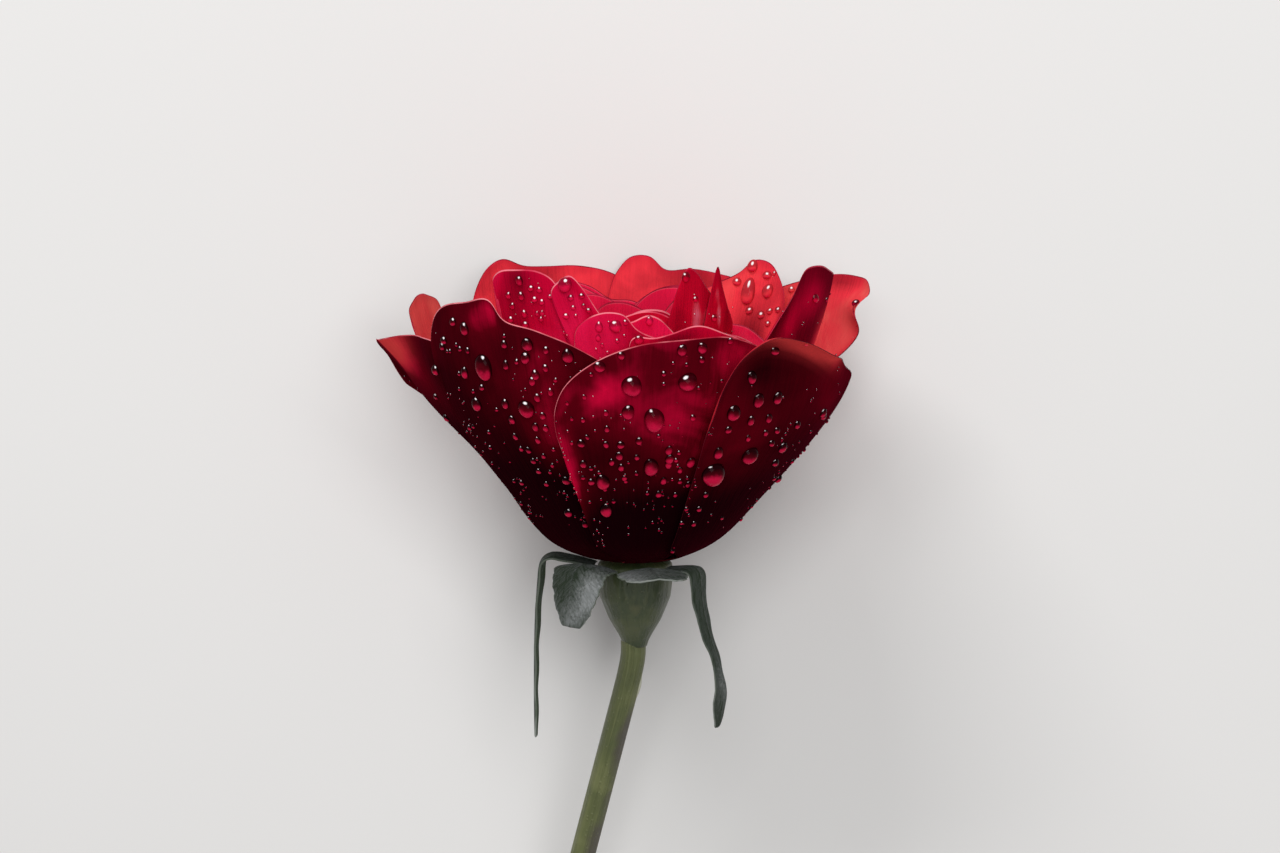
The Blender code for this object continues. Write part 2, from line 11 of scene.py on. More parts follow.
import logging
import math
import random
from dataclasses import dataclass, field
from enum import Enum

import bmesh
import bpy
import numpy as np
from bmesh.types import BMesh, BMVert
from mathutils import Matrix, Vector
from mathutils.bvhtree import BVHTree


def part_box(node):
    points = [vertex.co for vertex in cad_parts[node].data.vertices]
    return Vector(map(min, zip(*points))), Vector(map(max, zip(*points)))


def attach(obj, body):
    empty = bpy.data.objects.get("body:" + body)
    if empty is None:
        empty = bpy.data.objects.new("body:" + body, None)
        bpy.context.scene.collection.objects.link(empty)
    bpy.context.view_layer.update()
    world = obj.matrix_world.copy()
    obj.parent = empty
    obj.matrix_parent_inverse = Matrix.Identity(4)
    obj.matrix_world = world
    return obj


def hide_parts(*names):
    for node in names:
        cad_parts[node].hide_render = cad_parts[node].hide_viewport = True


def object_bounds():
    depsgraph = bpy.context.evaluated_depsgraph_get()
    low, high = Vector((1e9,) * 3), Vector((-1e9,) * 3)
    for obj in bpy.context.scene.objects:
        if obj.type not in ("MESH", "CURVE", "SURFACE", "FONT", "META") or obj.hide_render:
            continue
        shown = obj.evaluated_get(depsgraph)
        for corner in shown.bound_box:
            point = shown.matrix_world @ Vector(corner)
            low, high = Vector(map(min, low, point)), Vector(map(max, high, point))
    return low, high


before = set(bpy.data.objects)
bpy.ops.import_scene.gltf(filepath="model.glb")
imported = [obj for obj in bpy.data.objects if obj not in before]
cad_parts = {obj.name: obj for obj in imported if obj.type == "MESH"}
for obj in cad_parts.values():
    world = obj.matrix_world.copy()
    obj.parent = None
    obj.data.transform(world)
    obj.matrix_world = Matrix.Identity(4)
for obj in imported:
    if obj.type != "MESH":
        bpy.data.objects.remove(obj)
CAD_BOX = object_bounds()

LOG = logging.getLogger("rose")
logging.basicConfig(level=logging.INFO, format="%(name)s: %(message)s")

MM = 0.001
UP = np.array([0.0, 0.0, 1.0])
BODY = "root"

Array = np.ndarray
Colour = tuple[float, float, float]
Material = bpy.types.Material
Mesh = bpy.types.Mesh
Piece = bpy.types.Object
Socket = bpy.types.NodeSocket


# ---- Small helpers ----


def eased(share: Array) -> Array:
    """An ease from 0 to 1 with level ends."""
    share = np.clip(share, 0.0, 1.0)
    return share * share * (3 - 2 * share)


def curve_through(places: Array, values: Array, wanted: Array) -> Array:
    """A smooth curve through a few values.

    Args:
        places: Where the values stand, rising.
        values: The values.
        wanted: Where the curve is read.

    Returns:
        The curve's value at each wanted place.
    """
    places, values = np.asarray(places, float), np.asarray(values, float)
    slopes = np.gradient(values, places)
    step = np.clip(np.searchsorted(places, wanted) - 1, 0, len(places) - 2)
    width = places[step + 1] - places[step]
    t = (wanted - places[step]) / width
    return (
        (2 * t**3 - 3 * t**2 + 1) * values[step]
        + (t**3 - 2 * t**2 + t) * width * slopes[step]
        + (3 * t**2 - 2 * t**3) * values[step + 1]
        + (t**3 - t**2) * width * slopes[step + 1]
    )


@dataclass(frozen=True)
class Lying:
    """How the flower lies: the matrix that takes its own frame, in mm, to the model's, in metres."""

    lean: float = math.radians(9.37)
    roll: float = math.radians(3.49)
    place: tuple[float, float, float] = (0.002, 0.0454, 0.03047)

    def turn(self) -> Matrix:
        """The flower's turn from upright to lying."""
        return Matrix.Rotation(self.lean - math.pi / 2, 4, "X") @ Matrix.Rotation(self.roll, 4, "Z")

    def matrix(self) -> Matrix:
        """The whole move, with the change from millimetres to metres."""
        return Matrix.Translation(self.place) @ self.turn() @ Matrix.Scale(MM, 4)

    def points(self, places: Array) -> Array:
        """Places in the flower's frame as places in the model's."""
        matrix = np.array(self.matrix())
        return places @ matrix[:3, :3].T + matrix[:3, 3]


LYING = Lying()


# ---- Finishes ----


class Graph:
    """A material's nodes, added one at a time."""

    def __init__(self, name: str) -> None:
        """Starts an empty material of that name."""
        self.material = bpy.data.materials.new(name)
        self.material.use_nodes = True
        self.tree = self.material.node_tree
        self.tree.nodes.clear()
        self.output = self.tree.nodes.new("ShaderNodeOutputMaterial")

    def add(self, kind: str, **settings: object) -> bpy.types.Node:
        """Adds a node.

        Args:
            kind: The node's type.
            **settings: Its properties, by name.

        Returns:
            The node.
        """
        node = self.tree.nodes.new(kind)
        for name, value in settings.items():
            setattr(node, name, value)
        return node

    def feed(self, socket: Socket, value: object) -> None:
        """Links a socket to another, or sets its own value.

        Args:
            socket: The socket.
            value: Another socket, a number or a colour.
        """
        if isinstance(value, Socket):
            self.tree.links.new(value, socket)
        elif isinstance(value, tuple) and len(value) == 3 and socket.type == "RGBA":
            socket.default_value = (*value, 1.0)
        else:
            socket.default_value = value

    def place_on_petal(self) -> tuple[Socket, Socket]:
        """The (across, up) of each point, from the piece's own map."""
        map_node = self.add("ShaderNodeUVMap", uv_map="petal")
        parts = self.add("ShaderNodeSeparateXYZ")
        self.feed(parts.inputs[0], map_node.outputs[0])
        return parts.outputs[0], parts.outputs[1]

    def where(self) -> Socket:
        """The place of each point in the model."""
        return self.add("ShaderNodeTexCoord").outputs["Object"]

    def number(self, name: str) -> Socket:
        """A number that the mesh carries at each point."""
        return self.add("ShaderNodeAttribute", attribute_name=name).outputs["Fac"]

    def calc(self, operation: str, first: object, second: object = 0.0, clamp: bool = False) -> Socket:
        """One sum on numbers.

        Args:
            operation: The sum's name.
            first: Its first number.
            second: Its second number.
            clamp: Whether the answer is kept between 0 and 1.

        Returns:
            The answer.
        """
        node = self.add("ShaderNodeMath", operation=operation, use_clamp=clamp)
        self.feed(node.inputs[0], first)
        self.feed(node.inputs[1], second)
        return node.outputs[0]

    def times(self, first: object, second: object, clamp: bool = False) -> Socket:
        """The product of two numbers."""
        return self.calc("MULTIPLY", first, second, clamp)

    def vector(self, x: object, y: object, z: object = 0.0) -> Socket:
        """A vector made of three numbers.

        Args:
            x: Its first number.
            y: Its second.
            z: Its third.

        Returns:
            The vector.
        """
        node = self.add("ShaderNodeCombineXYZ")
        for socket, value in zip(node.inputs, (x, y, z)):
            self.feed(socket, value)
        return node.outputs[0]

    def noise(self, place: Socket, scale: float, detail: float = 2.0, twist: float = 0.0) -> Socket:
        """Soft noise.

        Args:
            place: Where it is read.
            scale: How fine it is.
            detail: How many finer layers it has.
            twist: How far it is bent by itself.

        Returns:
            A number about 0.5.
        """
        node = self.add("ShaderNodeTexNoise")
        self.feed(node.inputs["Vector"], place)
        self.feed(node.inputs["Scale"], scale)
        self.feed(node.inputs["Detail"], detail)
        self.feed(node.inputs["Distortion"], twist)
        return node.outputs["Fac"]

    def cell_edges(self, place: Socket, scale: float, randomness: float = 1.0) -> Socket:
        """The distance to the nearest edge of a net of cells.

        Args:
            place: Where it is read.
            scale: How many cells there are to a unit.
            randomness: How uneven they are.

        Returns:
            The distance.
        """
        node = self.add("ShaderNodeTexVoronoi", feature="DISTANCE_TO_EDGE")
        self.feed(node.inputs["Vector"], place)
        self.feed(node.inputs["Scale"], scale)
        self.feed(node.inputs["Randomness"], randomness)
        return node.outputs["Distance"]

    def remap(self, value: Socket, low: float, high: float, to_low: float = 0, to_high: float = 1) -> Socket:
        """A number moved from one range to another and kept inside it, with eased ends.

        Args:
            value: The number.
            low: Where its range starts.
            high: Where it ends.
            to_low: What the start becomes.
            to_high: What the end becomes.

        Returns:
            The moved number.
        """
        node = self.add("ShaderNodeMapRange", interpolation_type="SMOOTHSTEP")
        for socket, number in zip(node.inputs[1:5], (low, high, to_low, to_high)):
            self.feed(socket, number)
        self.feed(node.inputs[0], value)
        return node.outputs[0]

    def ramp(self, value: Socket, stops: tuple[tuple[float, Colour], ...]) -> Socket:
        """A colour read along a few stops.

        Args:
            value: Where the ramp is read, from 0 to 1.
            stops: Each stop's place and colour.

        Returns:
            The colour there.
        """
        node = self.add("ShaderNodeValToRGB")
        elements = node.color_ramp.elements
        while len(elements) < len(stops):
            elements.new(1.0)
        for element, (at, colour) in zip(elements, stops):
            element.position = at
            element.color = (*colour, 1.0)
        self.feed(node.inputs[0], value)
        return node.outputs[0]

    def blend(self, share: object, first: object, second: object) -> Socket:
        """Two colours mixed.

        Args:
            share: The second's share.
            first: A colour.
            second: Another.

        Returns:
            The mixed colour.
        """
        node = self.add("ShaderNodeMix", data_type="RGBA")
        self.feed(node.inputs[0], share)
        self.feed(node.inputs[6], first)
        self.feed(node.inputs[7], second)
        return node.outputs[2]

    def bump(self, height: Socket, depth: float, below: Socket | None = None) -> Socket:
        """A normal bent by a height.

        Args:
            height: The height, from 0 to 1.
            depth: How far that is, in metres.
            below: The normal that is bent, if not the surface's own.

        Returns:
            The new normal.
        """
        node = self.add("ShaderNodeBump")
        self.feed(node.inputs["Strength"], 1.0)
        self.feed(node.inputs["Distance"], depth)
        self.feed(node.inputs["Height"], height)
        if below is not None:
            self.feed(node.inputs["Normal"], below)
        return node.outputs[0]

    def skin(self, colour: object, normal: Socket | None = None, **values: object) -> Socket:
        """A Principled shader.

        Args:
            colour: Its colour.
            normal: Its normal, if bent.
            **values: Its other sockets, by name.

        Returns:
            The shader.
        """
        node = self.add("ShaderNodeBsdfPrincipled")
        self.feed(node.inputs["Base Color"], colour)
        for name, value in values.items():
            self.feed(node.inputs[name.replace("_", " ")], value)
        if normal is not None:
            self.feed(node.inputs["Normal"], normal)
        return node.outputs[0]

    def mix_shaders(self, share: object, first: Socket, second: Socket) -> Socket:
        """Two shaders mixed.

        Args:
            share: The second's share.
            first: A shader.
            second: Another.

        Returns:
            The mixed shader.
        """
        node = self.add("ShaderNodeMixShader")
        self.feed(node.inputs[0], share)
        self.feed(node.inputs[1], first)
        self.feed(node.inputs[2], second)
        return node.outputs[0]

    def lit_through(self, share: float, shader: Socket, colour: object, normal: Socket) -> Socket:
        """A shader that also lets light through from behind.

        Args:
            share: The share of the light that comes through.
            shader: The shader without it.
            colour: The colour that the light takes on.
            normal: The surface's normal.

        Returns:
            The mixed shader.
        """
        node = self.add("ShaderNodeBsdfTranslucent")
        self.feed(node.inputs["Color"], colour)
        self.feed(node.inputs["Normal"], normal)
        return self.mix_shaders(share, shader, node.outputs[0])

    def finish(self, surface: Socket) -> Material:
        """Links the surface and returns the material."""
        self.feed(self.output.inputs["Surface"], surface)
        return self.material


@dataclass(frozen=True)
class PetalSkin:
    """One face of a petal: velvet colour from its shade to its light, veins and a soft sheen.

    Attributes:
        name: The material's name.
        shade: The colour where the petal is darkest.
        body: Its usual colour.
        light: The colour where it is brightest.
        claw: The colour at its base, painted shade on the crimson and coral skins.
        rim: The colour that its edges fade to; where pale, partly a painted edge highlight.
        warm: The colour of its coral patches.
        rim_from: The place up the petal where the rim's colour starts.
        through: The share of light that comes through the petal.
        vein_depth: The height of its veins, in metres.
        roughness: How matt it is.
        sheen: How much velvet sheen it has.
    """

    name: str
    shade: Colour
    body: Colour
    light: Colour
    claw: Colour
    rim: Colour
    warm: Colour = (0.84, 0.06, 0.062)
    rim_from: float = 0.994
    through: float = 0.06
    vein_depth: float = 0.00007
    roughness: float = 0.48
    sheen: float = 0.05

    def material(self) -> Material:
        """Builds the finish.

        Returns:
            The material.
        """
        graph = Graph(self.name)
        across, up = graph.place_on_petal()
        fan = graph.vector(graph.times(across, 46.0), graph.times(up, 5.0))
        net = graph.cell_edges(fan, 1.0)
        vein = graph.remap(net, 0.0, 0.16, 1.0, 0.0)
        fine = graph.vector(graph.times(across, 210.0), graph.times(up, 9.0))
        streak = graph.noise(fine, 1.0, 3.0, 0.4)
        where = graph.where()
        patch = graph.noise(where, 95.0, 3.0, 0.6)
        grain = graph.noise(where, 2600.0, 1.0)
        # The mesh's tone holds the petal's own tone together with painted shade and painted highlights.
        tone = graph.times(graph.number("tone_and_painted_light"), graph.remap(patch, 0.32, 0.68, 0.74, 1.26))
        tone = graph.calc("ADD", tone, graph.remap(streak, 0.25, 0.75, -0.02, 0.02))
        tone = graph.calc("SUBTRACT", tone, graph.times(vein, 0.02), clamp=True)
        colour = graph.ramp(tone, ((0.0, self.shade), (0.5, self.body), (1.0, self.light)))
        colour = graph.blend(graph.number("warmth"), colour, self.warm)
        # The claw's colour low down, painted shade on the crimson and coral skins.
        colour = graph.blend(graph.remap(up, 0.02, 0.24, 1.0, 0.0), colour, self.claw)
        side = graph.calc("ABSOLUTE", graph.calc("SUBTRACT", across, 0.5))
        # The rim's colour at the edges, where pale partly a painted edge highlight.
        edge = graph.calc("MAXIMUM", graph.remap(up, self.rim_from, 1.0), graph.remap(side, 0.493, 0.5))
        colour = graph.blend(graph.times(edge, 0.3), colour, self.rim)
        height = graph.calc("ADD", graph.times(vein, -0.5), graph.times(streak, 0.35))
        normal = graph.bump(height, self.vein_depth)
        normal = graph.bump(grain, 0.00003, normal)
        matt = graph.remap(streak, 0.2, 0.8, self.roughness - 0.07, self.roughness + 0.07)
        shader = graph.skin(
            colour,
            normal,
            Roughness=matt,
            Specular_IOR_Level=0.0,
            Sheen_Weight=self.sheen,
            Sheen_Roughness=0.4,
            Sheen_Tint=(1.0, 0.04, 0.14),
        )
        return graph.finish(graph.lit_through(self.through, shader, colour, normal))

    def colour_at(self, tone: float, warm: float) -> Array:
        """The petal's colour at a place.

        Args:
            tone: How light the petal is there, from 0 to 1.
            warm: How coral it is, from 0 to 1.

        Returns:
            Red, green and blue.
        """
        stops = np.array([self.shade, self.body, self.light])
        colour = np.array([np.interp(tone, (0.0, 0.5, 1.0), stops[:, i]) for i in range(3)])
        return colour + warm * (np.array(self.warm) - colour)


@dataclass(frozen=True)
class PetalRim:
    """The thin line of a cut edge, paler in places and towards the petal's top, partly as a painted edge
    highlight.
    """

    name: str
    colour: Colour
    pale: Colour

    def material(self) -> Material:
        """Builds the finish.

        Returns:
            The material.
        """
        graph = Graph(self.name)
        where = graph.where()
        tone = graph.remap(graph.noise(where, 160.0, 3.0), 0.35, 0.62)
        # Paler towards the petal's top: partly a painted edge highlight.
        tone = graph.times(tone, graph.remap(graph.place_on_petal()[1], 0.7, 0.97, 0.15, 1.0))
        colour = graph.blend(tone, self.colour, self.pale)
        normal = graph.bump(graph.noise(where, 1800.0, 1.0), 0.00003)
        shader = graph.skin(colour, normal, Roughness=0.5, Specular_IOR_Level=0.08)
        return graph.finish(shader)


@dataclass(frozen=True)
class DewWater:
    """Water that stands on a petal: painted shade at its top, a painted highlight, and painted light low
    down.

    Attributes:
        name: The material's name.
        lit: The colour of the painted light low in a drop, where real drops gather light.
        painted_glint: The colour of the painted highlight that stands for the lamp's mirror image.
        deep: How much of the petal's own colour is left in the painted shade at a drop's top.
    """

    name: str = "dew"
    lit: Colour = (0.9, 0.01, 0.08)
    painted_glint: Colour = (0.96, 0.94, 0.95)
    deep: float = 0.16

    def material(self) -> Material:
        """Builds the finish.

        Returns:
            The material.
        """
        graph = Graph(self.name)
        where = graph.where()
        ripple = graph.bump(graph.noise(where, 900.0, 1.0), 0.000012)
        under = graph.add("ShaderNodeAttribute", attribute_name="under").outputs["Color"]
        uneven = graph.remap(graph.noise(where, 700.0), 0.3, 0.7, -0.05, 0.05)
        # Painted shade at a drop's top, where the mesh's low number is small, and painted light at its low
        # side.
        low = graph.calc("ADD", graph.number("low"), uneven)
        dark = graph.blend(graph.remap(under, 0.02, 0.24, self.deep, 0.5), (0.004, 0.0, 0.001), under)
        colour = graph.blend(graph.remap(low, 0.4, 0.66), dark, under)
        bright = graph.blend(0.68, under, self.lit)
        colour = graph.blend(graph.remap(low, 0.6, 0.84), colour, bright)
        # Painted highlight where the drop would mirror the key lamp.
        colour = graph.blend(graph.remap(graph.number("painted_glint"), 0.25, 0.75), colour, self.painted_glint)
        return graph.finish(graph.skin(colour, ripple, Roughness=0.05, IOR=1.33, Specular_IOR_Level=0.05))


@dataclass(frozen=True)
class LeafFelt:
    """A sepal's face: dark green under patches of silver felt, with a midrib and side veins."""

    name: str
    green: Colour = (0.022, 0.034, 0.019)
    silver: Colour = (0.29, 0.305, 0.305)
    margin: Colour = (0.2, 0.22, 0.2)

    def material(self) -> Material:
        """Builds the finish.

        Returns:
            The material.
        """
        graph = Graph(self.name)
        across, up = graph.place_on_petal()
        where = graph.where()
        side = graph.calc("ABSOLUTE", graph.calc("SUBTRACT", across, 0.5))
        slant = graph.calc("ADD", graph.times(up, 26.0), graph.times(side, -14.0))
        lines = graph.cell_edges(graph.vector(graph.times(side, 5.0), slant), 1.0, 0.7)
        vein = graph.remap(lines, 0.0, 0.14, 1.0, 0.0)
        midrib = graph.remap(side, 0.0, 0.06, 1.0, 0.0)
        fluff = graph.noise(where, 1500.0, 4.0, 1.2)
        cloud = graph.noise(where, 210.0, 3.0, 0.5)
        cover = graph.times(graph.remap(cloud, 0.3, 0.7, 0.55, 1.1), graph.number("tone_and_painted_light"))
        cover = graph.times(cover, graph.remap(fluff, 0.25, 0.7, 0.5, 1.1), clamp=True)
        cover = graph.calc("SUBTRACT", cover, graph.times(vein, 0.18), clamp=True)
        colour = graph.blend(cover, self.green, self.silver)
        colour = graph.blend(graph.remap(side, 0.46, 0.5, 0.0, 0.5), colour, self.margin)
        height = graph.calc("ADD", graph.times(midrib, 0.5), graph.times(vein, 0.2))
        normal = graph.bump(height, 0.0004)
        normal = graph.bump(fluff, 0.00016, normal)
        shader = graph.skin(
            colour,
            normal,
            Roughness=0.78,
            Specular_IOR_Level=0.2,
            Sheen_Weight=0.15,
            Sheen_Roughness=0.35,
            Sheen_Tint=(0.8, 0.84, 0.86),
        )
        return graph.finish(graph.lit_through(0.06, shader, colour, normal))


@dataclass(frozen=True)
class GreenRind:
    """The smooth rind of the stem and the hypanthium: ribs, specks, and a patch of another colour, a flush on
    the stem and a painted highlight on the hypanthium.
    """

    name: str
    deep: Colour
    green: Colour
    pale: Colour
    flush_and_highlight: Colour
    flush_and_highlight_from: float = 0.6
    roughness: float = 0.42

    def material(self) -> Material:
        """Builds the finish.

        Returns:
            The material.
        """
        graph = Graph(self.name)
        across, up = graph.place_on_petal()
        where = graph.where()
        along = graph.vector(graph.times(across, 38.0), graph.times(up, 7.0))
        rib = graph.noise(along, 1.0, 3.0, 0.3)
        cloud = graph.noise(where, 140.0, 3.0, 0.5)
        colour = graph.ramp(
            graph.remap(cloud, 0.1, 0.9), ((0.0, self.deep), (0.5, self.green), (1.0, self.pale))
        )
        colour = graph.blend(graph.remap(rib, 0.45, 0.75, 0.0, 0.45), colour, self.pale)
        # A flush where the mesh's tone is high; on the hypanthium this is mostly a pale painted highlight.
        flush_and_highlight_share = graph.noise(where, 75.0, 3.0, 0.8)
        flush_and_highlight_share = graph.calc("ADD", flush_and_highlight_share, graph.number("tone_and_painted_light"))
        flush_and_highlight_share = graph.remap(flush_and_highlight_share, self.flush_and_highlight_from, self.flush_and_highlight_from + 0.25, 0.0, 0.7)
        colour = graph.blend(flush_and_highlight_share, colour, self.flush_and_highlight)
        dots = graph.add("ShaderNodeTexVoronoi", feature="F1")
        graph.feed(dots.inputs["Vector"], where)
        graph.feed(dots.inputs["Scale"], 1100.0)
        dot = graph.remap(dots.outputs["Distance"], 0.12, 0.26, 1.0, 0.0)
        colour = graph.blend(graph.times(dot, 0.35), colour, self.pale)
        normal = graph.bump(rib, 0.0004)
        normal = graph.bump(dot, 0.00006, normal)
        matt = graph.remap(cloud, 0.2, 0.8, self.roughness - 0.08, self.roughness + 0.1)
        shader = graph.skin(
            colour, normal, Roughness=matt, Specular_IOR_Level=0.45, Coat_Weight=0.12, Coat_Roughness=0.3
        )
        return graph.finish(shader)


@dataclass(frozen=True)
class CutPith:
    """The stem's cut end: pale pith in a ring of green, with fine pores."""

    name: str = "cut_pith"
    pith: Colour = (0.5, 0.5, 0.4)
    ring: Colour = (0.3, 0.38, 0.12)

    def material(self) -> Material:
        """Builds the finish.

        Returns:
            The material.
        """
        graph = Graph(self.name)
        where = graph.where()
        pores = graph.cell_edges(where, 3200.0)
        colour = graph.blend(graph.remap(graph.number("tone_and_painted_light"), 0.55, 0.8), self.pith, self.ring)
        colour = graph.blend(graph.remap(pores, 0.0, 0.12, 0.3, 0.0), colour, (0.25, 0.22, 0.1))
        normal = graph.bump(pores, 0.0001)
        return graph.finish(graph.skin(colour, normal, Roughness=0.6, Specular_IOR_Level=0.4))


@dataclass(frozen=True)
class Pollen:
    """The granular gold and green of stamens and styles."""

    name: str
    dark: Colour
    bright: Colour
    grain: float = 2400.0

    def material(self) -> Material:
        """Builds the finish.

        Returns:
            The material.
        """
        graph = Graph(self.name)
        where = graph.where()
        speck = graph.noise(where, self.grain, 3.0)
        cloud = graph.noise(where, 500.0, 2.0)
        colour = graph.blend(graph.remap(speck, 0.35, 0.65), self.dark, self.bright)
        colour = graph.blend(graph.remap(cloud, 0.3, 0.8, 0.0, 0.4), colour, self.dark)
        normal = graph.bump(speck, 0.0001)
        shader = graph.skin(colour, normal, Roughness=0.7, Specular_IOR_Level=0.3, Sheen_Weight=0.15)
        return graph.finish(shader)


@dataclass(frozen=True)
class PaleFloor:
    """The studio's plain pale floor."""

    colour: Colour = (0.8, 0.79, 0.78)

    def material(self) -> Material:
        """Builds the finish.

        Returns:
            The material.
        """
        graph = Graph("pale_floor")
        soft = graph.noise(graph.where(), 6.0, 3.0)
        colour = graph.blend(graph.remap(soft, 0.3, 0.7, 0.0, 0.5), self.colour, (0.83, 0.82, 0.81))
        return graph.finish(graph.skin(colour, None, Roughness=0.9, Specular_IOR_Level=0.1))


# The pale ends of the pink and rose rims are partly painted edge highlights; rear petals get the darker rims.
RIM_PINK = PetalRim("rim_pink", (0.4, 0.012, 0.035), (0.88, 0.24, 0.28))
RIM_ROSE = PetalRim("rim_rose", (0.62, 0.02, 0.07), (0.92, 0.22, 0.28))
RIM_CRIMSON = PetalRim("rim_crimson", (0.26, 0.003, 0.018), (0.5, 0.012, 0.05))
RIM_DUSK = PetalRim("rim_dusk", (0.06, 0.0008, 0.005), (0.13, 0.002, 0.012))


class Skin(Enum):
    """The named faces that petals wear."""

    CRIMSON = PetalSkin(
        name="crimson_back",
        shade=(0.0075, 0.0006, 0.0016),
        body=(0.125, 0.0006, 0.0065),
        light=(0.72, 0.003, 0.046),
        # Near-black claw: painted shade deep in the bloom.
        claw=(0.02, 0.0012, 0.0018),
        rim=(0.75, 0.08, 0.13),
    )
    CORAL = PetalSkin(
        name="coral_face",
        shade=(0.08, 0.0008, 0.005),
        body=(0.93, 0.042, 0.066),
        light=(0.97, 0.14, 0.12),
        # Dark claw: painted shade where the faces' bases show between outer petals.
        claw=(0.12, 0.006, 0.01),
        rim=(0.42, 0.002, 0.025),
        rim_from=0.962,
        roughness=0.5,
    )
    SCARLET = PetalSkin(
        name="scarlet_back",
        shade=(0.05, 0.0004, 0.0035),
        body=(0.6, 0.002, 0.036),
        light=(0.94, 0.012, 0.098),
        claw=(0.25, 0.01, 0.012),
        rim=(0.86, 0.16, 0.24),
    )
    ROSE = PetalSkin(
        name="rose_face",
        shade=(0.4, 0.002, 0.02),
        body=(0.8, 0.012, 0.066),
        light=(0.92, 0.07, 0.15),
        claw=(0.6, 0.15, 0.05),
        rim=(0.9, 0.22, 0.3),
    )
    PAINTED_SHEEN_SCARLET = PetalSkin(
        name="painted_sheen_scarlet_back",
        shade=(0.16, 0.0008, 0.008),
        body=(0.66, 0.003, 0.03),
        # The light stop is the pale pink of painted sheen streaks.
        light=(0.88, 0.2, 0.3),
        claw=(0.3, 0.02, 0.02),
        rim=(0.88, 0.26, 0.34),
        roughness=0.42,
    )


# ---- Petals ----


@dataclass(frozen=True)
class Whorl:
    """A bowl that some of the petals lie on, and how they sit against each other."""

    name: str
    foot: tuple[float, float]
    reaches: tuple[float, ...]
    leans: tuple[float, ...]
    claw: float
    opens: tuple[float, float]
    stagger: float
    ramp: float
    cells: tuple[int, int]
    ripple: float
    back: Skin = Skin.SCARLET
    face: Skin = Skin.ROSE
    rim: PetalRim = RIM_ROSE


@dataclass(frozen=True)
class Bend:
    """A place where a petal stands further out from its bowl, or in from it if `out` is negative."""

    azimuth: float
    width: float
    out: float
    start: float
    full: float


@dataclass(frozen=True)
class Roll:
    """A place where a petal's rim rolls outward by `turn` degrees over its last `length`."""

    azimuth: float
    width: float
    turn: float
    length: float


@dataclass(frozen=True)
class ToneAndPaintedLightPatch:
    """A soft patch on a petal or a sepal: lighter, or darker if `by` is negative, or warmer; on petals many
    are painted shade and highlights.
    """

    across: float
    up: float
    wide: float
    tall: float
    by: float = 0.0
    warm: float = 0.0

    def near(self, across: Array, up: Array) -> Array:
        """How much of the patch is felt at some places."""
        return np.exp(-(((across - self.across) / self.wide) ** 2) - ((up - self.up) / self.tall) ** 2)


@dataclass(frozen=True)
class Petal:
    """One petal: its claw's azimuth, its rim as (azimuth, reach), its shape's accents, colours and painted
    light.
    """

    facing: float
    outline: tuple[tuple[float, float], ...]
    bends: tuple[Bend, ...] = ()
    rolls: tuple[Roll, ...] = ()
    low_opens: tuple[float, ...] = ()
    tone: float = 0.5
    # How the tone falls towards the claw, as painted shade: from where up the petal, to where, and by how
    # much.
    fade: tuple[float, float, float] = (0.1, 0.5, 0.2)
    # Patches of the petal's own tone, painted shade and painted highlights.
    tone_and_painted_light_patches: tuple[ToneAndPaintedLightPatch, ...] = ()
    dew: int = 30
    face_dew: int = 0
    face: Skin | None = None
    rim: PetalRim | None = None


OUTER = Whorl(
    name="outer",
    foot=(5.3, 0.9),
    reaches=(0, 4.5, 9, 13.5, 19.5, 32.5, 39.5, 45.5, 54.5, 69.5),
    leans=(14, 21, 31, 45, 51, 52, 60, 70, 80, 84),
    claw=3.6,
    opens=(1.5, 14),
    stagger=2.0,
    ramp=16.0,
    cells=(56, 38),
    back=Skin.CRIMSON,
    face=Skin.CORAL,
    rim=RIM_PINK,
    ripple=0.34,
)
SECOND = Whorl(
    name="second",
    foot=(4.6, 1.4),
    reaches=(0, 5, 12, 20, 35, 50, 60, 75),
    leans=(12, 33, 52, 60, 64, 74, 80, 84),
    claw=2.6,
    opens=(4, 22),
    stagger=1.85,
    ramp=12.0,
    cells=(48, 32),
    ripple=0.28,
)
THIRD = Whorl(
    name="third",
    foot=(3.9, 1.9),
    reaches=(0, 5, 12, 25, 45, 55, 70),
    leans=(20, 45, 62, 70, 78, 83, 86),
    claw=1.1,
    opens=(3, 20),
    stagger=1.2,
    ramp=12.0,
    cells=(36, 26),
    ripple=0.2,
)
FOURTH = Whorl(
    name="fourth",
    foot=(3.2, 2.4),
    reaches=(0, 5, 12, 25, 45, 60),
    leans=(36, 58, 70, 76, 84, 88),
    claw=0.8,
    opens=(3, 20),
    stagger=1.0,
    ramp=10.0,
    cells=(32, 24),
    back=Skin.PAINTED_SHEEN_SCARLET,
    ripple=0.18,
)
HEART = Whorl(
    name="heart",
    foot=(2.5, 2.9),
    reaches=(0, 5, 12, 25, 38, 50),
    leans=(52, 72, 79, 82, 92, 100),
    claw=0.9,
    opens=(3, 16),
    stagger=0.9,
    ramp=8.0,
    cells=(26, 18),
    ripple=0.12,
)
